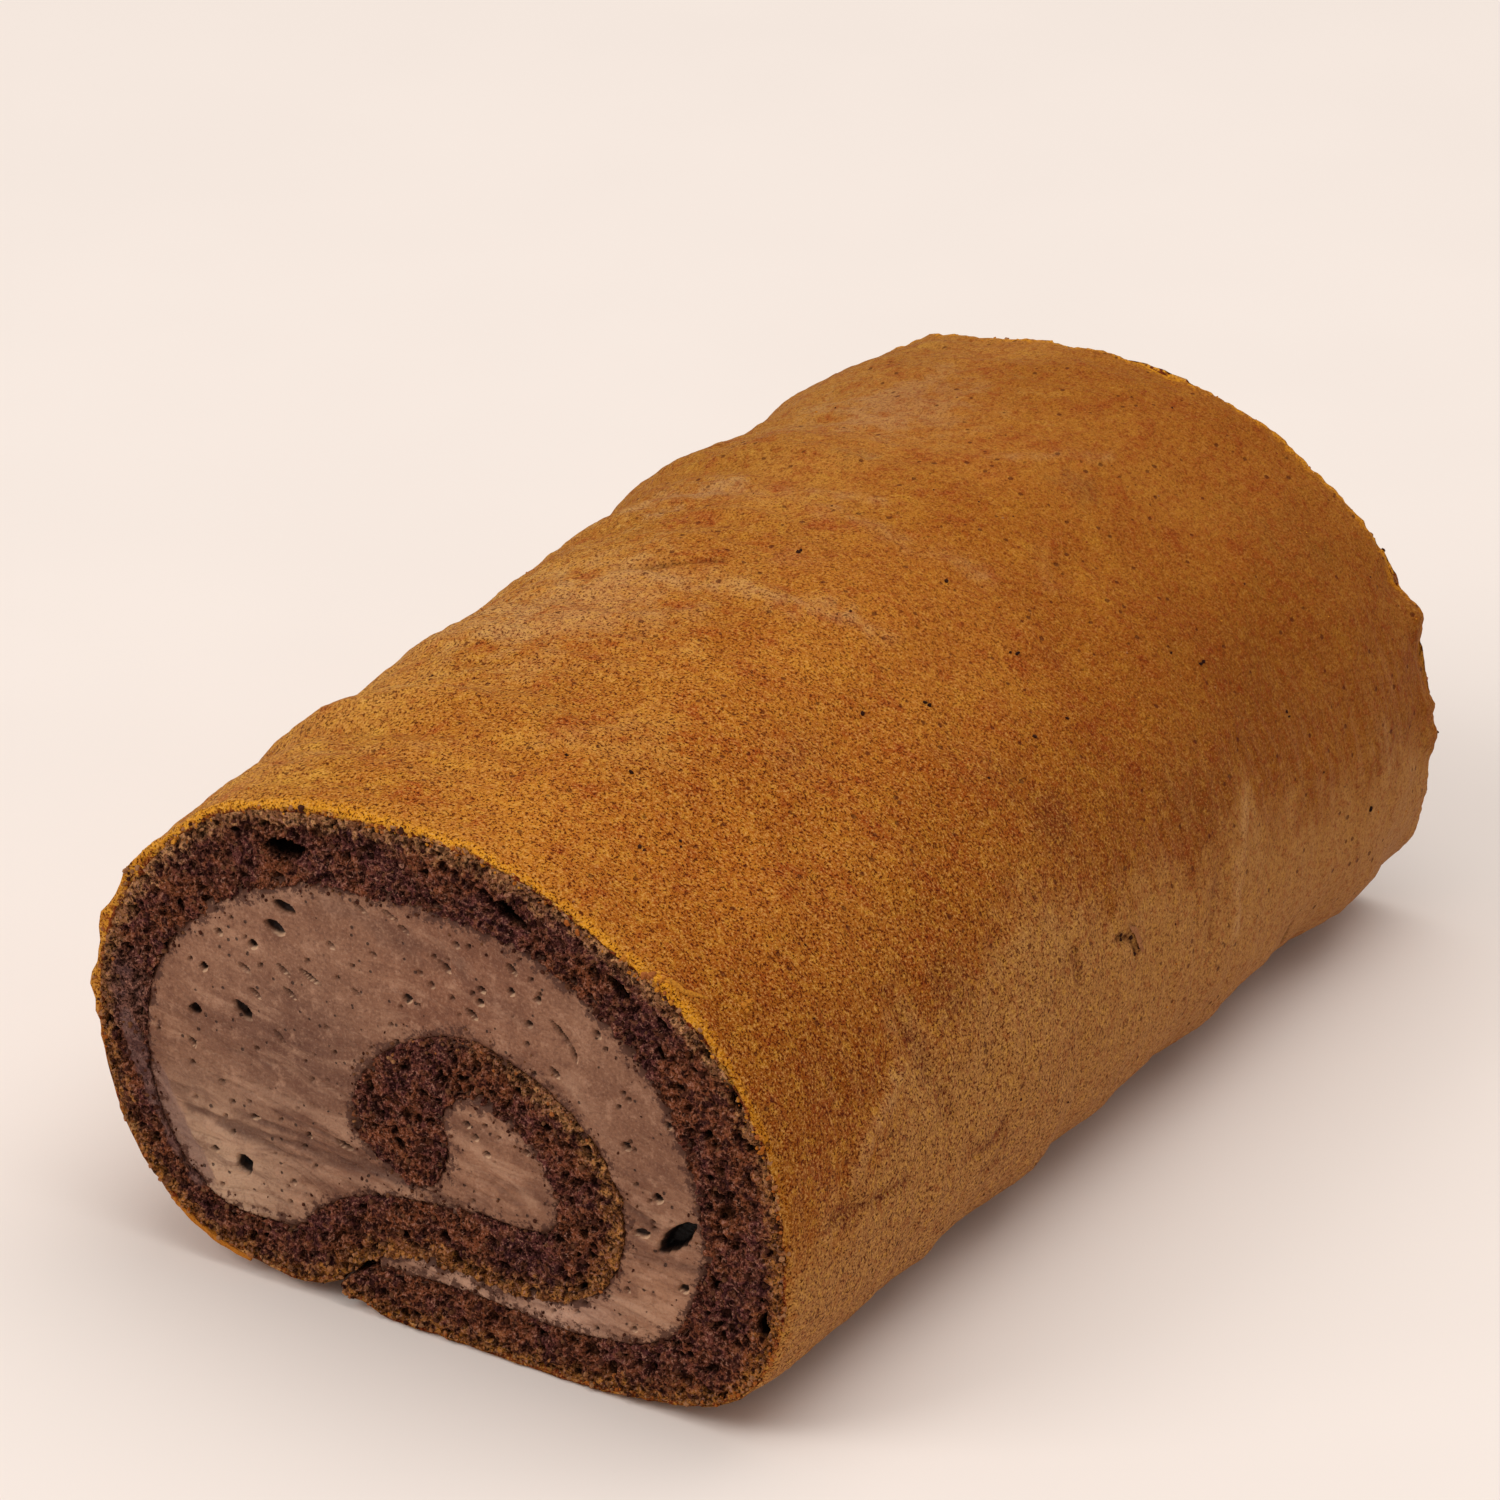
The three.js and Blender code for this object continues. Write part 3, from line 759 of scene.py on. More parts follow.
def wrinkles(angle, from_front, points):
    """Height of the wrinkles, and each point's rubbing and painted light and shade: above 0 pale, below 0
    dark.
    """
    wander = np.maximum(0.25, 1.4 + 1.3 * rough(points, 4, 41, 3))
    patchy = np.clip(0.75 + 0.7 * rough(points, 2.2, 43, 3), 0.1, 1.3)
    height, worn_and_shaded = np.zeros_like(angle), np.zeros_like(angle)
    for trail, half_width, rise, wear_and_shade in WRINKLES:
        off = beside_on_skin(angle, from_front, trail) / (half_width * wander)
        height += rise * np.exp(-off ** 2)
        worn_and_shaded += wear_and_shade * patchy * np.exp(-off ** 2 * 0.8)
    return height, np.clip(worn_and_shaded, -1, 1)


def in_foot(angle, from_front, points):
    """How much of the pale foot each point is."""
    edge = level(from_front, FOOT_EDGE) + 6 * rough(points, 4, 42, 4)
    return 1 - fade(angle, edge - 8, edge + 6)


def skin_depth(from_front):
    """How thick the layer of skin is."""
    edge = np.minimum(from_front, LENGTH - from_front)
    return SKIN_AT_CUT + (SKIN_INSIDE - SKIN_AT_CUT) * fade(edge, 0.8, 7)


def skin_relief(x, from_front, z, around):
    """How far the skin stands out from its smooth form."""
    points, angle = np.column_stack([x, from_front, z]), angles(x, z)
    height = 0.5 * rough(points, 15, 1, 2) + 0.3 * rough(points, 5.5, 2, 2) + 0.1 * rough(points, 1.7, 3, 2)
    shoulder = fade(angle, 70, 105) * (1 - fade(angle, 165, 185))
    wrinkled = rough(drawn(around / 11, from_front / 2.6), 1, 4, 3)
    height += 0.36 * shoulder * wrinkled + wrinkles(angle, from_front, points)[0]
    height += 0.09 * (1 - fade(angle, 35, 65)) * rough(drawn(around / 14, from_front / 1.7), 1, 5, 2)
    for line, middle, spread, slant in WAVES:
        off = angle - middle
        height += level(from_front + slant * off, line) * np.exp(-(off / spread) ** 2)
    for distance, middle, depth, width, spread, slant in CREASES:
        off = (from_front - distance - slant * (angle - middle)) / width
        height -= depth * np.exp(-off ** 2 / 2 - ((angle - middle) / spread) ** 4)
    for distance, middle, bump, reach in RIM_NUBS:
        off = (from_front - distance) ** 2 + on_skin(angle - middle) ** 2
        height += bump * np.exp(-off / (2 * reach ** 2))
    edge = np.minimum(from_front, LENGTH - from_front)
    height += 0.3 * rough(points, 1.3, 8, 3) * (1 - fade(edge, 0.3, 2.4)) + 0.12
    return (height - scars(angle, from_front)[0]) * fade(z, 0.2, 6)


def browned_skin():
    """The skin, with where it was wrapped, which way it faces, and its foot, scars, rubbing and painted light
    and shade kept at its corners.
    """
    arc_end = float(np.interp(SEAM_STATION, DENSE, ARC))
    steps = [0.0]
    while steps[-1] < arc_end - 0.9:
        unseen = steps[-1] < UNSEEN_START or steps[-1] > arc_end - UNSEEN_END
        steps.append(steps[-1] + (UNSEEN_CELL if unseen else SKIN_CELL))
    steps[-1] = arc_end
    outside = RIM_ROWS + list(np.linspace(2.7, LENGTH - 2.7, round((LENGTH - 5.4) / ROW_STEP)))
    outside += [LENGTH - y for y in reversed(RIM_ROWS)]
    loop = [(y, 0.0) for y in outside] + [(LENGTH, share) for share in (0.3, 0.65)]
    loop += [(y, 1.0) for y in np.linspace(LENGTH, 0, 30)] + [(0.0, share) for share in (0.65, 0.3)]
    bm = bmesh.new()
    wrap = bm.verts.layers.float_vector.new("wrap")
    bmesh.ops.create_grid(bm, x_segments=len(steps) - 1, y_segments=len(loop), size=0.5)
    column = np.array([round((vert.co.x + 0.5) * (len(steps) - 1)) for vert in bm.verts])
    row = np.array([round((vert.co.y + 0.5) * len(loop)) % len(loop) for vert in bm.verts])
    around = np.array(steps)[column]
    from_front, share = np.array(loop)[row].T
    stations = np.interp(steps, ARC, DENSE)
    line = settled(side_line(stations, 1))
    out = ways(stations)[1][column]
    thickness = sheet_at(stations)[column, 2]
    depth = share * np.minimum(skin_depth(from_front), 0.4 * thickness)
    x, z = (line[column] - out * depth[:, None]).T
    x, z = swell(x, from_front, z, depth)
    outer = share == 0
    edge = np.minimum(from_front, LENGTH - from_front)
    relief = np.zeros_like(x)
    relief[outer] = skin_relief(x[outer], from_front[outer], z[outer], around[outer])
    relief[outer] -= 0.3 * (1 - fade(edge[outer], 0, 0.7))
    x, z = x + out[:, 0] * relief, z + out[:, 1] * relief
    side = np.where(from_front < LENGTH / 2, -1.0, 1.0)
    rim = np.column_stack([around / 1.1, side * 40, share * 2])
    ragged = 0.34 * rough(rim, 1, 6, 3) + 0.25 * rough(rim, 3.1, 7, 2)
    from_front = from_front + side * (ragged - 0.05) * (1 - fade(edge, 0, 1.6))
    layers = [bm.verts.layers.float.new(name) for name in ("scar_and_shade", "facing", "foot", "worn_and_shaded")]
    angle, points = angles(x, z), np.column_stack([x, from_front, z])
    marks = np.column_stack([
        scars(angle, from_front)[1] * outer, angle, in_foot(angle, from_front, points),
        wrinkles(angle, from_front, points)[1]])
    for vert, spot, facts, values in zip(
            bm.verts, in_frame(x, from_front, z), zip(around, from_front, depth), marks.tolist()):
        vert.co = spot
        vert[wrap] = facts
        for layer, value in zip(layers, values):
            vert[layer] = value
    bmesh.ops.remove_doubles(bm, verts=bm.verts, dist=1e-4)
    bmesh.ops.holes_fill(bm, edges=[e for e in bm.edges if e.is_boundary], sides=0)
    bmesh.ops.recalc_face_normals(bm, faces=bm.faces)
    for face in bm.faces:
        face.smooth = True
    mesh = to_mesh("sponge_skin", bm)
    place(mesh, corners(mesh))
    return finished("sponge_skin", mesh, "sponge", skin_finish())


# The crumb: the whole sheet, from cut to cut, under the browned skin

CRUMB_CELL = 0.212
CRUMB_RINGS = [1.7, 5, 12, 26, 50, LENGTH / 2]  # distances from a cut
BROWNED_ARM = [(0, 1), (SEAM_STATION, 1), (29, 0.85), (33, 0.8), (34.5, 0.25), (36, 0.1), (38, 0.1)]
CREAM_ON_CRUMB = (-44.6, 0, 19.5)  # where the knife smeared cream over the crumb; z is squeezed
TUCKED_UNDER = 0.65  # how deep the crumb starts below the roll's outside, under the browned skin
CRUMB_POCKETS = [
    # x, z, half length, half height, tilt, depth
    (-21, 61.4, 3.3, 1.4, 8, 2.6), (11.6, 61.6, 3.2, 0.95, -22, 2.5), (42.6, 46.3, 1, 1.6, 20, 1.8),
    (46.4, 16.8, 1, 1.7, 0, 2.2), (-28.1, 61.9, 0.7, 0.5, 0, 1.2), (-13.9, 66.3, 0.6, 0.45, 10, 1),
    (-36.6, 56.6, 0.55, 0.5, 0, 1), (-39.3, 48.7, 0.7, 0.45, 40, 1.1), (1.3, 67.1, 0.6, 0.5, 0, 1),
    (26.6, 56.6, 2.2, 0.9, -38, 1.8), (39.7, 20.1, 0.65, 0.6, 0, 1.3), (7.5, 63.8, 1.2, 0.5, -18, 1.2),
    (32.8, 53.4, 1.3, 0.6, -40, 1.4), (-30.5, 8, 0.8, 0.5, 10, 1), (4, 37.6, 0.9, 0.6, 10, 1.2),
    (20.6, 15.6, 0.9, 0.5, 30, 1.1), (9.6, 13.7, 1.1, 0.45, 0, 1.1), (-3.2, 12.2, 0.8, 0.5, 20, 1),
    (36.2, 9.6, 0.8, 0.6, 30, 1.1), (44.5, 36.4, 0.5, 0.9, 0, 1.1), (-2.3, 30.2, 0.8, 0.6, 60, 1.2),
    (-43.6, 46.5, 0.5, 0.6, 0, 1), (-46.9, 27.9, 0.4, 0.7, 0, 1), (38.9, 40.6, 0.9, 0.6, 60, 1.4),
    (37.0, 48.6, 0.7, 0.5, 0, 1.2), (32.4, 49.3, 1.0, 0.7, -30, 1.3), (42, 33.4, 0.7, 0.6, 0, 1.2),
    (18.3, 19.8, 0.9, 0.6, 0, 1.3), (15.3, 34.7, 0.8, 0.5, -30, 1.1), (-8.4, 63.8, 0.9, 0.5, 0, 1.1),
]


def crumb_relief(x, z, end):
    """How deep the crumb's cut face lies at each point: granules, tears and pores."""
    points, depth = drawn(x, z, 50.0 * end), np.zeros_like(x)
    for size, cavity, share, seed in ((1.8, 1.0, 0.4, 1), (0.95, 0.6, 0.3, 2)):
        near, second, chance = cells(points, size, seed)
        depth += cavity * fade(second - near, 0.08, 0.5) * fade(chance, share, share + 0.2)
        depth += 0.28 * size * (near - 0.4)
    depth += 0.25 * rough(points, 3.1, 11, 2) + 0.14 * rough(points, 0.7, 12, 1) - 0.1
    return depth


def sheet_grid():
    """Places of the cut sheet in rows along it and columns from its browned side in, with their facts."""
    arcs = np.linspace(0, SHEET_LENGTH, round(SHEET_LENGTH / CRUMB_CELL))
    stations = np.interp(arcs, ARC, DENSE)
    along, out = ways(stations)
    outside = 1 - fade(stations, SEAM_STATION - 0.6, SEAM_STATION)
    tuck = np.minimum(TUCKED_UNDER, 0.25 * sheet_at(stations)[:, 2]) * outside
    jag = drawn(arcs, 0 * arcs)
    inner_jag = (1 - outside) * (0.4 * rough(jag, 1.5, 21, 3) + 0.3 * rough(jag, 5, 24, 2) - 0.05)
    skin = settled(side_line(stations, 1)) - out * (tuck + inner_jag)[:, None]
    jag = 0.5 * rough(jag, 1.5, 22, 3) + 0.45 * rough(jag, 5.5, 23, 2)
    inside = side_line(stations, -1) - out * jag[:, None]
    across = np.linspace(0, 1, round(9.5 / CRUMB_CELL))
    grid = skin[:, None] + (inside - skin)[:, None] * across[None, :, None]
    depth = tuck[:, None] + np.linalg.norm(inside - skin, axis=1)[:, None] * across[None]
    ends = []
    for row, swelling, skew, way in ((0, OUTER_END_SWELL, 0, -1), (-1, INNER_END_SWELL, INNER_END_SKEW, 1)):
        side = 2 * across - 1
        bulge = swelling * np.sqrt(np.maximum(0, 1 - side ** 2)) * (1 + skew * side)
        bulge *= 1 + 0.06 * np.sin(across * 23) + 0.04 * np.sin(across * 51)
        shares = np.linspace(0, 1, max(2, round(swelling / CRUMB_CELL)) + 1)[1:]
        ends.append(np.array([grid[row] + along[row] * (way * bulge * share)[:, None] for share in shares]))
    first, last = ends
    grid = np.concatenate([first[::-1], grid, last])
    depth = np.concatenate([np.repeat(depth[:1], len(first), 0), depth, np.repeat(depth[-1:], len(last), 0)])
    browned = level(stations, BROWNED_ARM)
    browned = np.concatenate([np.full(len(first), 1.0), browned, np.full(len(last), browned[-1])])
    return grid, depth, browned


def crumb_half(name, side):
    """The sheet's crumb from one cut to the middle of the roll: side 1 is the front, -1 the back."""
    grid, depths, browned = sheet_grid()
    rows, columns = depths.shape
    bm = bmesh.new()
    depth_layer, browned_layer = (bm.verts.layers.float.new(key) for key in ("depth", "browned"))
    bmesh.ops.create_grid(bm, x_segments=rows - 1, y_segments=columns - 1, size=0.5)
    for vert in bm.verts:
        i = round((vert.co.x + 0.5) * (rows - 1))
        j = round((vert.co.y + 0.5) * (columns - 1))
        vert.co = (grid[i, j, 0], 0, grid[i, j, 1])
        vert[depth_layer], vert[browned_layer] = depths[i, j], browned[i]
    edges = [e for e in bm.edges if e.is_boundary]
    for edge in edges:
        edge.smooth = False
    pulled_back(bm, edges, CRUMB_RINGS)
    bmesh.ops.remove_doubles(bm, verts=bm.verts, dist=1e-4)
    for face in bm.faces:
        face.smooth = True
    mesh = to_mesh(name, bm)
    x, from_cut, z = corners(mesh).T
    face = from_cut == 0
    depth, skin = nearest(SKIN_TREE, x, z)
    sunk = np.where((depth < 1.2) & ~face, skin_depth(from_cut) - SKIN_AT_CUT, 0)
    inward = np.column_stack([x, z]) - skin
    inward /= np.maximum(1e-6, np.linalg.norm(inward, axis=1))[:, None]
    x, z = x + inward[:, 0] * sunk, z + inward[:, 1] * sunk
    fine, pockets = crumb_relief(x[face], z[face], side), hollows(x[face], z[face], CRUMB_POCKETS)
    relief, pore = np.zeros_like(x), np.zeros_like(x)
    covered = on_tongue(x[face], z[face])
    fine = fine * fade(depth[face], -1, 1.4) * (1 - 0.75 * covered)
    relief[face] = fine + np.maximum(0, pockets - 0.2) - 0.22
    pore[face] = (np.maximum(0, fine - 0.3) + 0.7 * pockets) * (1 - covered)
    from_front = (from_cut + relief) if side == 1 else LENGTH - (from_cut + relief)
    tongue = np.zeros_like(x)
    tongue[face] = covered
    x, z = swell(x, from_front, z, depth + sunk)
    store(mesh, "pore", pore)
    store(mesh, "tongue", tongue)
    place(mesh, in_frame(x, from_front, z))
    face_outwards(mesh)
    return finished(name, mesh, "sponge", crumb_finish())


# The cream: the filling in two halves that meet in the middle, with a smooth knife cut at both ends

CREAM_CELL = 0.205
CREAM_OVERLAP = 0.9  # how far the cream soaks into the crumb beside it
CREAM_RINGS = [3, 9, 17, 27, 39, 53, 67, LENGTH / 2]  # distances from a cut
MARGIN = 2.0  # how far the two shapes that share the cream reach past it
FACE_REACH = 4.0  # the cut face and its pockets lie within this of the cut
CREAM_LIGHT_AND_TONES = [
    # place on the cut, reach, tone, share: paler low on the cut, painted light from the floor below, and
    # darker in the middle and at the top, painted shade, over the filling's own uneven brown
    ((-30, 46), 22, (156, 110, 83), 0.7), ((-33, 13), 20, (192, 154, 124), 0.9),
    ((4, 50), 22, (132, 80, 56), 0.5), ((8, 27), 13, (160, 113, 85), 0.75),
    ((33, 16), 13, (170, 122, 92), 0.85), ((-20, 34), 20, (106, 70, 54), 0.7),
    ((31, 38), 13, (132, 89, 65), 0.5), ((4, 8), 14, (198, 154, 128), 0.8),
    ((18, 9), 12, (200, 156, 130), 0.85),
]
CREAM_POCKETS = [
    (34.3, 25.0, 4.0, 1.45, 45, 2.4), (-28.6, 15.7, 1.2, 1.3, 30, 1.8), (-21.3, 53.3, 1.9, 0.8, -10, 1.5),
    (-22.8, 50.2, 1.7, 0.85, -15, 1.3), (-26.2, 46.9, 0.8, 0.6, 0, 1.2), (-33.6, 41.8, 0.6, 0.6, 0, 1.2),
    (-35.2, 35.4, 0.95, 0.85, 0, 1.6), (-27.9, 37.4, 1.7, 0.9, -35, 1.3),
    (-31.1, 47.3, 0.6, 0.45, -20, 0.8), (-3.6, 46.2, 0.8, 0.6, 0, 0.9), (2.1, 52.0, 0.8, 0.5, -40, 0.9),
    (27.5, 35.6, 0.8, 0.6, 0, 0.9), (-27.4, 43.3, 1.1, 0.36, -30, 0.8), (-21.7, 44.7, 1.2, 0.34, -30, 0.8),
    (-17.8, 44.9, 1.8, 0.38, -25, 0.9), (-26.0, 40.3, 1.1, 0.34, -30, 0.7),
    (-20.9, 41.8, 1.2, 0.34, -30, 0.7), (18.4, 48.2, 2.1, 0.38, -45, 0.9),
    (20.2, 45.8, 1.2, 0.34, -70, 0.8), (17.4, 42.4, 1.0, 0.4, -40, 0.8), (-13.5, 23.1, 1.5, 0.45, -15, 0.9),
    (-18.8, 22.7, 0.6, 0.5, 20, 0.9), (-26.8, 22.9, 0.8, 0.4, 10, 0.8), (-33.0, 16.5, 0.6, 0.5, 0, 0.8),
    (31.8, 29.8, 0.8, 0.7, 0, 1.3), (29.4, 24.2, 1.3, 0.6, 10, 0.9), (7.4, 28.2, 0.6, 0.4, 0, 0.7),
    (27.4, 15.8, 0.5, 0.4, 0, 0.7), (-10.1, 56.4, 1.4, 0.32, -25, 0.6), (33.4, 40.2, 0.6, 0.5, 0, 0.8),
    (-6.0, 56.8, 1.1, 0.3, -25, 0.6), (-3.9, 55.4, 0.9, 0.3, -25, 0.6), (3.7, 55.6, 0.6, 0.45, -20, 0.7),
    (11.5, 54.6, 1.0, 0.42, -35, 0.8), (-1.7, 50.2, 0.5, 0.4, -20, 0.6), (-0.1, 49.0, 0.5, 0.4, -20, 0.6),
    (7.2, 50.6, 0.7, 0.45, -15, 0.8), (6.9, 48.8, 0.65, 0.5, 0, 0.9), (5.7, 46.9, 1.1, 0.4, -30, 0.8),
    (11.4, 51.6, 0.6, 0.5, -20, 0.9), (15.2, 51.6, 0.55, 0.45, 0, 0.8), (13.9, 48.0, 0.6, 0.5, 0, 0.9),
    (-22.5, 35.3, 1.3, 0.32, -40, 0.5), (-36.0, 30.7, 1.0, 0.4, -50, 0.8), (-21.3, 15.4, 0.5, 0.4, 0, 0.6),
    (-11.0, 44.8, 0.9, 0.3, -30, 0.5), (23.4, 49.4, 0.7, 0.5, -40, 0.8), (27.8, 41.9, 0.5, 0.4, 0, 0.6),
    (5.9, 30.1, 0.6, 0.4, -20, 0.7), (4.8, 31.6, 0.6, 0.4, -10, 0.7), (13.1, 30.2, 0.6, 0.5, 0, 0.7),
    (35.3, 18.4, 0.8, 0.6, 20, 1.0), (28.4, 10.7, 0.5, 0.4, 0, 0.6), (-14.6, 50.2, 0.8, 0.35, -25, 0.6),
    (-8.2, 50.8, 0.6, 0.35, -20, 0.6), (-15.5, 38.6, 0.7, 0.3, -30, 0.5),
    (-31.4, 26.4, 0.6, 0.35, -20, 0.6),
]
CREAM_MARKS = [
    # trail of (x, z), half width, depth, and how pale (or dark) it is painted: where the knife dragged the
    # cream, painted shade in the grooves and painted light on the raised marks
    ([(-36.7, 21.0), (-27.5, 20.8), (-15, 20.8), (-4.9, 20.9), (3.7, 19.6)], 0.55, 0.35, -0.9),
    ([(-32.7, 20.0), (-20.2, 19.0), (-10.7, 20.3), (-0.5, 21.2)], 0.5, 0.3, -0.8),
    ([(-29.6, 22.7), (-20.8, 22.3), (-10.6, 21.7)], 0.45, 0.25, -0.6),
    ([(-23.6, 24.6), (-17.1, 23.9), (-10.6, 22.4)], 0.45, 0.3, -0.7),
    ([(-34, 19.2), (-24, 17.8), (-12, 18.6), (-3, 18.6)], 0.9, -0.15, 0.5),
    ([(-26, 26.2), (-19, 26.6), (-13, 25.2), (-10, 23.4)], 1.5, -0.15, 0.5),
    ([(-45.2, 28.6), (-43.2, 26.2), (-40.6, 23.2), (-38, 20.4)], 0.5, -0.25, 0.7),
    ([(-15.3, 55.6), (-6, 54.6), (4, 53.2)], 1.3, 0.05, -0.5),
    ([(-7.5, 52.8), (4.4, 51.2), (14.1, 47.9)], 1.0, 0.05, -0.4),
    ([(-36, 33.5), (-30, 31.5), (-24, 31.2)], 0.8, 0.1, -0.4),
    ([(-33, 50), (-27, 52.5), (-20, 56)], 1.5, 0, 0.4),
    ([(4, 43.5), (14, 42), (22, 37.5), (27, 31)], 0.7, 0.1, -0.4),
    ([(19.5, 41.5), (23.5, 36), (26.2, 31.5)], 1.2, -0.1, 0.5),
    ([(20, 30.5), (26, 28.4), (31, 25.5)], 0.6, 0.35, -0.7),
    ([(24.5, 14.2), (30, 13.4), (34.5, 12.2)], 0.5, 0.15, 0.6),
    ([(2, 30), (8, 27.5), (14, 23.5)], 0.8, 0.1, 0.5),
    ([(4, 26.5), (9, 24.5), (13, 21.8)], 0.5, 0.15, -0.4),
    ([(29, 21.4), (33, 20.8), (37, 21.6)], 0.8, 0.15, -0.5),
]
HIGHLIT_POCKETS = [pocket for pocket in CREAM_POCKETS if pocket[5] < 1.4]
HIGHLIGHT_OFFSET = (0.14, -0.2)  # a painted highlight lies below and to the right of each shallow pocket


def cream_outline():
    """The filling's outline at a cut, a little larger than what shows."""
    facing = np.linspace(CREAM_FROM_STATION, LAST_STATION, 420)
    behind = np.linspace(CREAM_TO_STATION, LAST_STATION, 130)
    inner = side_line(facing, -1, -CREAM_OVERLAP)
    skin = side_line(behind, 1, -CREAM_OVERLAP)
    last = np.array([float(LAST_STATION)])
    (x, z, thickness), (along, out) = sheet_at(last)[0], (way[0] for way in ways(last))
    side = np.linspace(0.95, -0.95, 21)
    bulge = (INNER_END_SWELL - CREAM_OVERLAP) * np.sqrt(1 - side ** 2) * (1 + INNER_END_SKEW * side)
    end = np.array([x, z]) - out * (side * (thickness / 2 - CREAM_OVERLAP))[:, None] + along * bulge[:, None]
    outline = np.concatenate([inner, end, skin[::-1]])
    kept = [outline[0]]
    for point in outline[1:]:
        if np.linalg.norm(point - kept[-1]) > 0.5:
            kept.append(point)
    return np.array(kept)


def cream_relief(x, z, end):
    """How deep the cream's cut face lies: knife smears, soft waves, and the air pockets."""
    points = drawn(x, z, 30.0 * end)
    turn = math.radians(KNIFE_SLANT)
    along, across = x * math.cos(turn) + z * math.sin(turn), -x * math.sin(turn) + z * math.cos(turn)
    across = across + 3.2 * rough(points, 15, 34, 1)
    dragged = drawn(along / 13, across / 1.1, 30.0 * end)
    lower = 1 - fade(z, 24, 44)
    drag = rough(dragged, 1, 32, 2)
    grooves = np.maximum(0, 1 - np.abs(rough(dragged, 1.7, 35, 1)) / 0.1)
    depth = 0.24 * rough(points, 9, 31, 2) + (0.06 + 0.14 * lower) * drag + (0.05 + 0.2 * lower) * grooves
    depth += 0.06 * rough(points, 1.6, 33, 2)
    smooth = on_tongue(x, z)
    return depth * (1 - 0.7 * smooth) + 0.3 * smooth + cream_marks(x, z)[0]


def cream_marks(x, z):
    """How deep the knife's marks are, and each point's painted light and shade along them: above 0 pale,
    below 0 dark.
    """
    wander = np.maximum(0.3, 1.2 + 1.2 * rough(drawn(x, z), 3.5, 37, 2))
    depth, wear_and_shade = np.zeros_like(x), np.zeros_like(x)
    for trail, half_width, deep, worn_and_shaded in CREAM_MARKS:
        off = beside(x, z, trail) / (half_width * wander)
        depth += deep * np.exp(-off ** 2)
        wear_and_shade += worn_and_shaded * np.exp(-off ** 2)
    return depth, np.clip(wear_and_shade, -1, 1)


def cream_pores(x, z, end):
    """How deep the air pockets are: the placed ones, and small round ones all over."""
    near, _, chance = cells(drawn(x, z, 30.0 * end), 2.1, 3)
    size = 0.1 + 0.12 * chance
    small = 0.7 * (1 - fade(near, size * 0.6, size)) * fade(chance, 0.5, 0.7)
    return small + hollows(x, z, CREAM_POCKETS)


def shared_part(first, second):
    """The part that two closed meshes share."""
    pair = [linked("shape", mesh) for mesh in (first, second)]
    cutter = pair[0].modifiers.new("shared", "BOOLEAN")
    cutter.operation = "INTERSECT"
    cutter.solver = "MANIFOLD"
    cutter.object = pair[1]
    shown = pair[0].evaluated_get(bpy.context.evaluated_depsgraph_get())
    shared = bpy.data.meshes.new_from_object(shown)
    for one in pair:
        bpy.data.objects.remove(one)
    return shared


def within(outline, x, z):
    """Which points lie inside the closed outline."""
    inside = np.zeros(len(x), bool)
    for (x0, z0), (x1, z1) in zip(outline, np.roll(outline, -1, axis=0)):
        if z0 != z1:
            crossed = (z0 > z) != (z1 > z)
            inside ^= crossed & (x < x0 + (x1 - x0) * (z - z0) / (z1 - z0))
    return inside


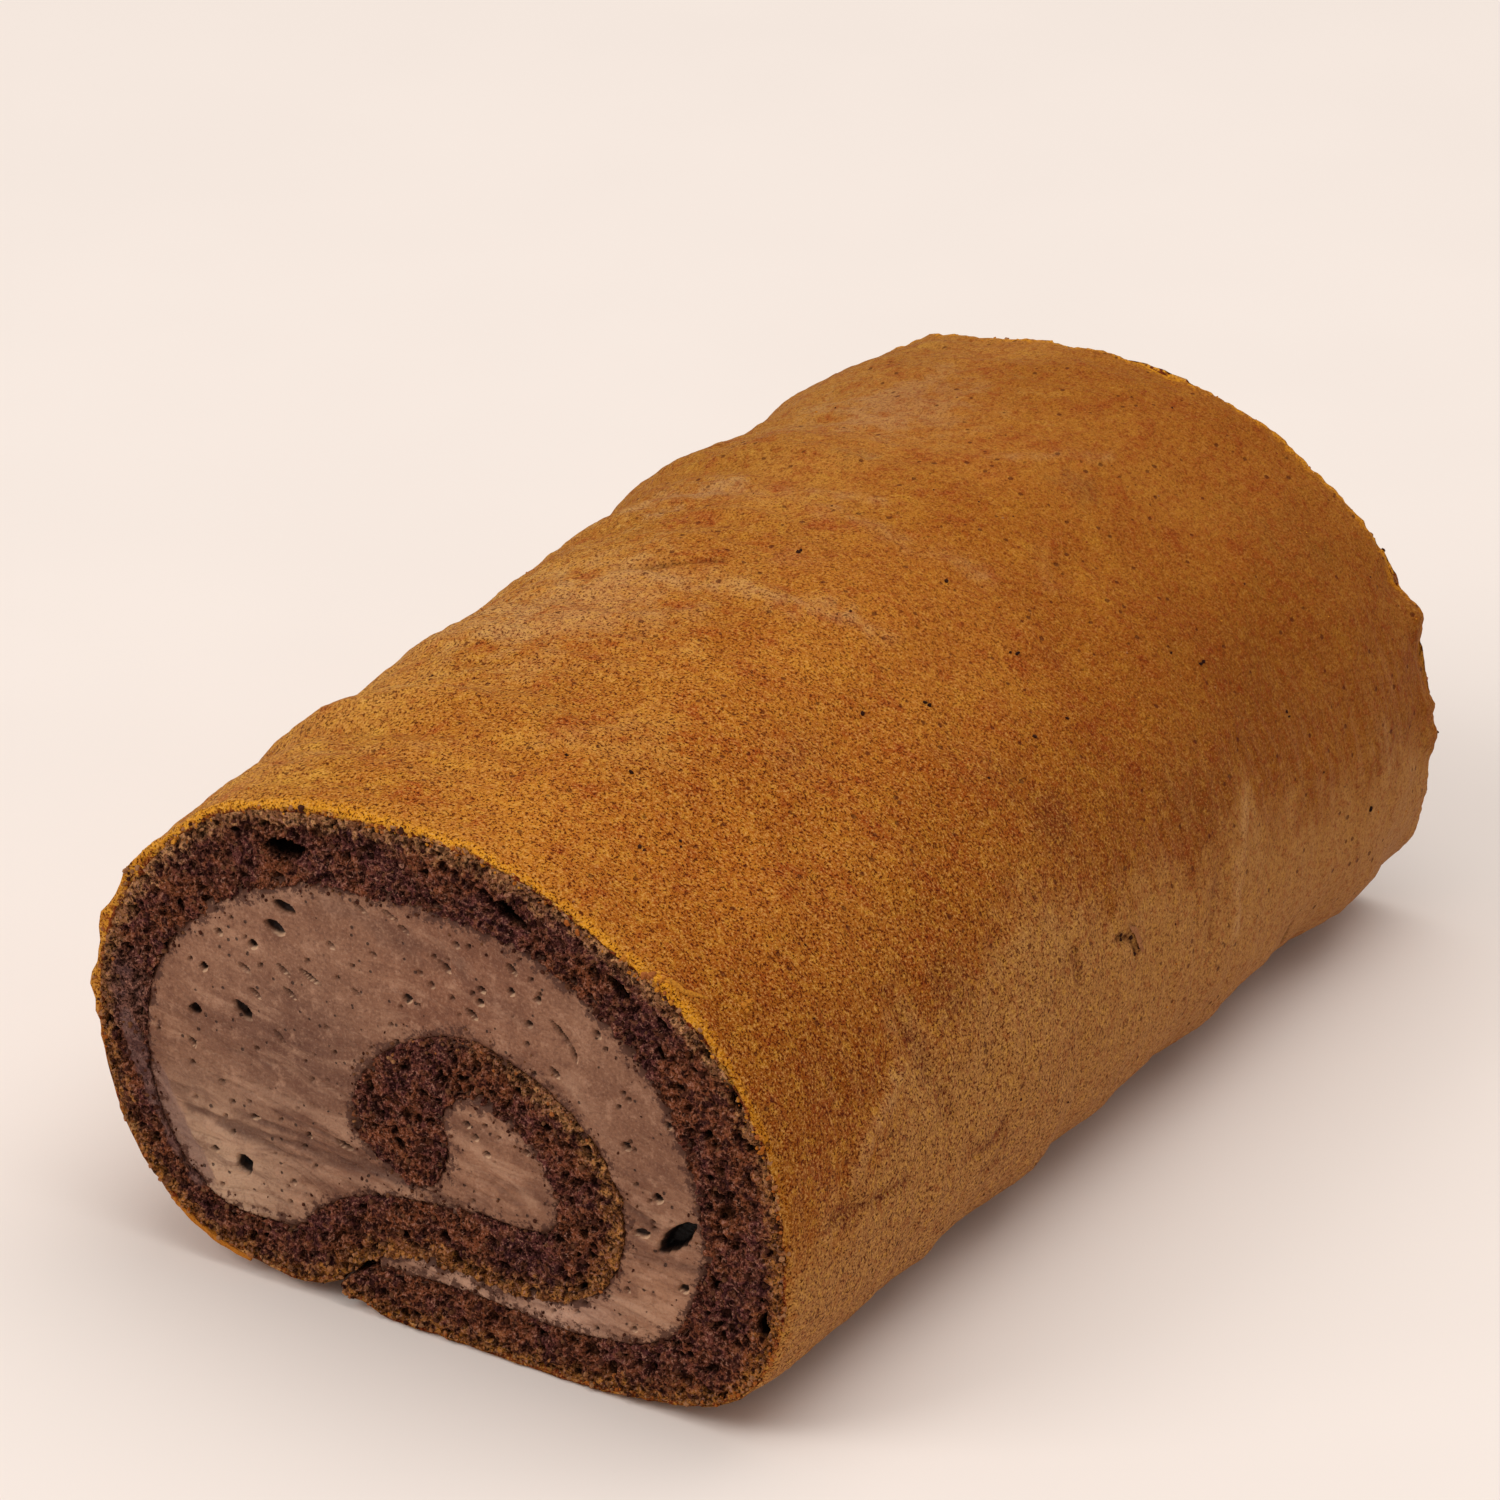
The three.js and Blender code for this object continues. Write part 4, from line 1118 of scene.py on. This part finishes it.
def cream_half(name, side):
    """The filling from one cut to the middle of the roll: side 1 is the front, -1 the back."""
    outline = cream_outline()
    bm = bmesh.new()
    ring = [bm.verts.new((x, -MARGIN, z)) for x, z in outline]
    pulled_back(bm, bm.faces.new(ring).edges[:], CREAM_RINGS)
    bmesh.ops.recalc_face_normals(bm, faces=bm.faces)
    prism, edge_tree = to_mesh("cream_outline", bm), tree_of(outline)
    low, high = outline.min(axis=0) - 1, outline.max(axis=0) + 1
    counts = [int((high[k] - low[k]) / CREAM_CELL) for k in (0, 1)]
    bm = bmesh.new()
    made = bmesh.ops.create_grid(bm, x_segments=counts[0], y_segments=counts[1], size=0.5)["verts"]
    x = np.array([low[0] + (vert.co.x + 0.5) * (high[0] - low[0]) for vert in made])
    z = np.array([low[1] + (vert.co.y + 0.5) * (high[1] - low[1]) for vert in made])
    relief, seen_part = np.zeros_like(x), within(outline, x, z)
    inner = x[seen_part], z[seen_part]
    fine, pockets = cream_relief(*inner, side), cream_pores(*inner, side)
    border = nearest(edge_tree, *inner)[0]
    fuzz = 0.3 * rough(drawn(*inner, side * 9.0), 1.1, 36, 2)
    sink = (0.62 + fuzz) * (1 - fade(border, 0.35, 1.35))
    relief[seen_part] = np.minimum(fine + sink, 1.5) + pockets * fade(border, 0.2, 0.8)
    for vert, spot in zip(made, np.column_stack([x, relief, z])):
        vert.co = spot
    pulled_back(bm, [e for e in bm.edges if e.is_boundary], [LENGTH / 2 + MARGIN])
    bmesh.ops.recalc_face_normals(bm, faces=bm.faces)
    mesh = shared_part(to_mesh(name, bm), prism)
    x, from_cut, z = corners(mesh).T
    face = from_cut < FACE_REACH
    cut = x[face], z[face]
    pore = cream_pores(*cut, side)
    lip_highlight = np.maximum(0, hollows(cut[0] - HIGHLIGHT_OFFSET[0], cut[1] - HIGHLIGHT_OFFSET[1], HIGHLIT_POCKETS) - pore)
    facts = {"pore": pore, "lip_highlight": lip_highlight, "wear_and_shade": cream_marks(*cut)[1], "tongue": on_tongue(*cut)}
    for key, values in facts.items():
        everywhere = np.zeros(len(x))
        everywhere[face] = values
        store(mesh, key, everywhere)
    store(mesh, "border", nearest(edge_tree, x, z)[0] - CREAM_OVERLAP)
    from_front = from_cut if side == 1 else LENGTH - from_cut
    x, z = swell(x, from_front, z, nearest(SKIN_TREE, x, z)[0])
    place(mesh, in_frame(x, from_front, z))
    face_outwards(mesh)
    for polygon in mesh.polygons:
        polygon.use_smooth = True
    return finished(name, mesh, "cream", cream_finish())


# Loose bits: crumbs along the rims, on the cuts and on the skin, burnt specks, and torn flakes

LOOSE_ON_SKIN = [
    # distance from the front cut, angle, size, tone, how many
    (8.5, 29.3, 0.42, 0.9, 9), (0.3, 41.6, 0.5, 0.7, 5), (0.4, 39.8, 0.4, 0.85, 4),
    (23.6, 30.8, 0.3, 0.1, 2), (71.2, 50.1, 0.42, 0.05, 3), (61.8, 55.7, 0.34, 0.1, 2),
    (67.4, 34.4, 0.3, 0.1, 1), (116.2, 28.5, 0.32, 0.1, 2), (142.6, -7.6, 0.42, 0.0, 2),
    (26.7, 73.6, 0.36, 0.08, 2), (24.9, 85.5, 0.34, 0.1, 2), (77, 73.5, 0.36, 0.15, 2),
    (93.9, 67.4, 0.3, 0.1, 1), (86.6, 93.5, 0.3, 0.1, 2), (90.9, 49, 0.34, 0.05, 2),
    (80.9, 35.2, 0.28, 0.1, 1), (88.1, 34.6, 0.28, 0.1, 2), (112.5, 33.2, 0.3, 0.1, 2),
    (128, 14.5, 0.3, 0.1, 2), (131, 2.9, 0.28, 0.1, 1), (17, 60.2, 0.3, 0.2, 3), (21.6, 56.2, 0.3, 0.1, 2),
    (78.4, 2.4, 0.3, 0.12, 3), (80.4, 1.2, 0.36, 0.1, 4), (81.5, -1.5, 0.34, 0.12, 3),
]
FLAKES = [
    # trail of (distance from the front cut, angle), width, lift, tone
    ([(0.3, 40.5), (0.8, 38.8), (1.8, 36.8), (3.0, 35.2), (4.2, 34.0)], 0.5, 0.25, 0.95),
    ([(79.6, 3.4), (81.2, 2.2), (82.2, 0.2), (83.2, -1.6)], 0.6, 0.2, 0.6),
]
PEELING_EDGE = [(-40.4, 7.7), (-38.6, 7.0), (-35.8, 5.2), (-32.2, 3.5), (-28.4, 2.5)]  # x, z at the front cut
RIM_CRUMBS, CUT_CRUMBS, DRAGGED_CRUMBS = 900, 1300, 450  # how many at each end
SKIN_CRUMBS = 240


def turns(count, chance):
    """Random turns, as rows of 3 x 3."""
    quarter = chance.normal(size=(count, 4))
    w, x, y, z = (quarter / np.linalg.norm(quarter, axis=1)[:, None]).T
    return np.array([
        [1 - 2 * (y * y + z * z), 2 * (x * y - w * z), 2 * (x * z + w * y)],
        [2 * (x * y + w * z), 1 - 2 * (x * x + z * z), 2 * (y * z - w * x)],
        [2 * (x * z - w * y), 2 * (y * z + w * x), 1 - 2 * (x * x + y * y)],
    ]).transpose(2, 0, 1)


def loose_bits(name, spots, sizes, tones, chance):
    """One small lump at each spot, in millimetres of the frame."""
    bm = bmesh.new()
    bmesh.ops.create_icosphere(bm, subdivisions=1, radius=1.0)
    ball = np.array([vert.co for vert in bm.verts])
    count = len(spots)
    while len(bm.verts) < count * len(ball):
        bmesh.ops.duplicate(bm, geom=bm.verts[:] + bm.edges[:] + bm.faces[:])
    bmesh.ops.delete(bm, geom=bm.verts[:][count * len(ball):], context="VERTS")
    shapes = ball[None] * chance.uniform(0.55, 1.3, (count, 1, 3))
    shapes = shapes * chance.uniform(0.75, 1.25, (count, len(ball), 1))
    shapes = np.einsum("nvi,nij->nvj", shapes, turns(count, chance)) * sizes[:, None, None]
    places = spots[:, None] + shapes
    places[..., 2] += np.maximum(0, -places[..., 2].min(axis=1))[:, None]
    mesh = to_mesh(name, bm)
    store(mesh, "tone", np.repeat(tones, len(ball)))
    place(mesh, places.reshape(-1, 3))
    return finished(name, mesh, "sponge", LOOSE_FINISH)


def skin_finder(piece):
    """A way to find the place of a spot on the finished skin, all its places, and their distances."""
    places, wrap = corners(piece.data) / MM, stored(piece.data, "wrap", 3)
    outer = wrap[:, 2] < 0.01
    places, from_front = places[outer], wrap[outer, 1]
    around = on_skin(angles(places[:, 0] - MIDDLE_X, places[:, 2]))

    def find(distance, angle):
        return places[np.argmin((from_front - distance) ** 2 + (around - on_skin(angle)) ** 2)]
    return find, places, from_front


def gathered(lists):
    return [np.concatenate(parts) for parts in lists]


def rim_bits(places, from_front, chance):
    """Spots, sizes and tones of the crumbs along the browned edge of both cuts."""
    spots, sizes, tones = [], [], []
    for end, way in ((0, -1), (LENGTH, 1)):
        rim = places[(np.abs(from_front - end) < 0.45) & (places[:, 2] > 0.2)]
        chosen = rim[chance.integers(0, len(rim), RIM_CRUMBS)]
        inwards = (np.array([0, 0, CORE_HEIGHT]) - chosen) * [1, 0, 1]
        inwards *= (chance.uniform(0.2, 1.1, len(chosen)) / np.linalg.norm(inwards, axis=1))[:, None]
        jitter = chance.normal(0, 0.07, (len(chosen), 3))
        spots.append(chosen + jitter + inwards + [0, 0.05 * way, 0])
        sizes.append(0.1 + 0.34 * chance.uniform(0, 1, len(chosen)) ** 2)
        kind = chance.uniform(0, 1, len(chosen))
        bright, dull = chance.uniform(0.7, 1.0, len(chosen)), chance.uniform(0.62, 0.78, len(chosen))
        golden = np.where(chosen[:, 2] > 40, bright, dull)
        tones.append(np.where(kind < 0.6, golden, np.where(kind < 0.85, 0.54, 0.2)))
    return gathered((spots, sizes, tones))


def cut_corners(piece, fact):
    """A piece's corners in millimetres, this fact of each, and which of them lie at its cut."""
    places = corners(piece.data) / MM
    return places, stored(piece.data, fact, 1), np.abs(places[:, 1]) > LENGTH / 2 - 1.2


def cut_bits(pieces, chance):
    """Spots, sizes and tones of the crumbs on the cut sponge, paler close under the skin."""
    spots, sizes, tones = [], [], []
    for piece in pieces:
        places, depth, cut = cut_corners(piece, "depth")
        places, depth = places[cut], depth[cut]
        chosen = chance.integers(0, len(places), CUT_CRUMBS)
        spots.append(places[chosen] + chance.normal(0, 0.05, (len(chosen), 3)))
        sizes.append(chance.uniform(0.14, 0.4, len(chosen)))
        shallow = depth[chosen] < chance.uniform(1.0, 3.0, len(chosen))
        pale_tone, dark_tone = chance.uniform(0.35, 0.7, len(chosen)), chance.uniform(0.15, 0.4, len(chosen))
        tones.append(np.where(shallow, pale_tone, dark_tone))
    return gathered((spots, sizes, tones))


def dragged_bits(pieces, chance):
    """Spots, sizes and tones of the crumbs that the knife dragged on to the cream."""
    spots = []
    for piece in pieces:
        places, border, cut = cut_corners(piece, "border")
        near = places[cut & (border > 0) & (border < chance.exponential(0.8, len(border)))]
        spots.append(near[chance.integers(0, len(near), DRAGGED_CRUMBS)])
    spots = np.concatenate(spots)
    return spots, chance.uniform(0.1, 0.3, len(spots)), chance.uniform(0.15, 0.4, len(spots))


def skin_bits(find, places, chance):
    """Spots, sizes and tones of the crumbs and specks on the skin: the placed ones, then scattered ones."""
    spots, sizes, tones = [], [], []
    for distance, angle, size, tone, count in LOOSE_ON_SKIN:
        for _ in range(count):
            spots.append(find(distance + chance.normal(0, 0.3), angle + chance.normal(0, 0.35)))
            sizes.append(size * chance.uniform(0.7, 1.15))
            tones.append(tone)
    for spot in places[chance.integers(0, len(places), SKIN_CRUMBS)]:
        spots.append(spot)
        sizes.append(chance.uniform(0.08, 0.2))
        tones.append(chance.choice([0.25, 0.62, 0.75, 0.95]))
    return np.array(spots), np.array(sizes), np.array(tones)


def torn_strip(bm, centres, across, width, thickness, tone, tone_layer):
    """A thin ragged strip along these centres, tapering to both ends."""
    made = bmesh.ops.create_grid(bm, x_segments=22, y_segments=5, size=0.5)["verts"]
    knots = np.linspace(0, 1, len(centres))
    for vert in made:
        along, side = vert.co.x + 0.5, vert.co.y * 2
        middle = np.array([np.interp(along, knots, centres[:, axis]) for axis in range(3)])
        way = np.array([np.interp(along, knots, across[:, axis]) for axis in range(3)])
        ragged = 1 + 0.35 * noise.noise(Vector((along * 7, side * 1.5, width)))
        taper = 1 - 0.8 * abs(2 * along - 1) ** 3
        vert.co = middle + way * (side * width / 2 * taper * ragged)
    faces = list(dict.fromkeys(face for vert in made for face in vert.link_faces))
    known = set(bm.verts) - set(made)
    bmesh.ops.solidify(bm, geom=faces, thickness=thickness)
    for vert in set(bm.verts) - known:
        vert.co += noise.noise_vector(vert.co / 0.7) * 0.14
        vert[tone_layer] = tone


def torn_flakes(find):
    """Flakes that have come up from the skin, and the edge that peels at the front cut."""
    bm = bmesh.new()
    tone_layer = bm.verts.layers.float.new("tone")
    for trail, width, lift, tone in FLAKES:
        spots = np.array([find(*spot) for spot in trail])
        ways_out = [math.radians(angle) for _, angle in trail]
        out = np.array([(math.cos(way), 0, math.sin(way)) for way in ways_out])
        along = np.gradient(spots, axis=0)
        across = np.cross(out, along / np.linalg.norm(along, axis=1)[:, None])
        torn_strip(bm, spots + out * lift, across + 0.25 * out, width, 0.28, tone, tone_layer)
    edge = np.array([(x + MIDDLE_X, 0.3 - LENGTH / 2, z) for x, z in PEELING_EDGE])
    torn_strip(bm, edge, np.tile([0.1, 0.99, 0], (len(edge), 1)), 1.3, 0.7, 0.86, tone_layer)
    bmesh.ops.recalc_face_normals(bm, faces=bm.faces)
    mesh = to_mesh("torn_flakes", bm)
    place(mesh, corners(mesh))
    return finished("torn_flakes", mesh, "sponge", LOOSE_FINISH)


LOOSE_FINISH = loose_finish()
skin_piece = browned_skin()
crumb_pieces = [crumb_half("sponge_crumb_front", 1), crumb_half("sponge_crumb_back", -1)]
cream_pieces = [cream_half("cream_front", 1), cream_half("cream_back", -1)]
chance = np.random.default_rng(12)
noise.seed_set(12)  # without it noise_vector, which the flakes use, takes its seed from the clock
find_on_skin, skin_places, skin_distances = skin_finder(skin_piece)
loose_bits("rim_crumbs", *rim_bits(skin_places, skin_distances, chance), chance)
loose_bits("cut_crumbs", *cut_bits(crumb_pieces, chance), chance)
loose_bits("dragged_crumbs", *dragged_bits(cream_pieces, chance), chance)
loose_bits("skin_crumbs", *skin_bits(find_on_skin, skin_places, chance), chance)
torn_flakes(find_on_skin)


# The studio: a plain pale floor, soft light, and the camera

FLOOR_TONE = (241, 229, 220)
LIGHTS = [("window", (-1.3, -1.7, 1.9), 1.4, 26.0), ("ceiling", (0.3, 0.15, 1.9), 1.8, 22.0)]
LIT_SPOT = Vector((0, 0, 0.03))
SKY_TONE, SKY_STRENGTH = (1.0, 0.97, 0.95, 1), 0.44
CAMERA_PLACE = (0.421605, -0.677927, 0.450456)
CAMERA_TURN, CAMERA_TIP = 32.2, 26.9  # degrees
LENS, SENSOR = 168, 36  # millimetres


def floor_finish():
    f = Finish("pale_floor", 0.9)
    tone = seen(*FLOOR_TONE)
    shade = tuple(0.985 * share for share in tone[:3]) + (1.0,)
    f.tone = f.mix(f.spread(f.noise(60, 2, 0.5), 0.3, 0.7), tone, shade)
    return f.done()


def studio():
    bm = bmesh.new()
    bmesh.ops.create_grid(bm, x_segments=1, y_segments=1, size=3.0)
    floor = linked("floor", to_mesh("floor", bm))
    floor.data.materials.append(floor_finish())
    world = bpy.data.worlds.new("studio")
    world.use_nodes = True
    sky = world.node_tree.nodes["Background"].inputs
    sky["Color"].default_value, sky["Strength"].default_value = SKY_TONE, SKY_STRENGTH
    bpy.context.scene.world = world
    for name, spot, size, power in LIGHTS:
        light = bpy.data.lights.new(name, "AREA")
        light.size, light.energy = size, power
        holder = linked(name, light)
        holder.location = spot
        holder.rotation_euler = (LIT_SPOT - Vector(spot)).to_track_quat("-Z", "Y").to_euler()


def photo_camera():
    lens = bpy.data.cameras.new("camera")
    lens.lens, lens.sensor_width, lens.clip_end = LENS, SENSOR, 20
    holder = linked("camera", lens)
    holder.location = CAMERA_PLACE
    holder.rotation_euler = Euler((math.radians(90 - CAMERA_TIP), 0, math.radians(CAMERA_TURN)))
    bpy.context.scene.camera = holder


studio()
photo_camera()
bpy.context.scene.view_settings.view_transform = "Standard"

bpy.context.view_layer.update()
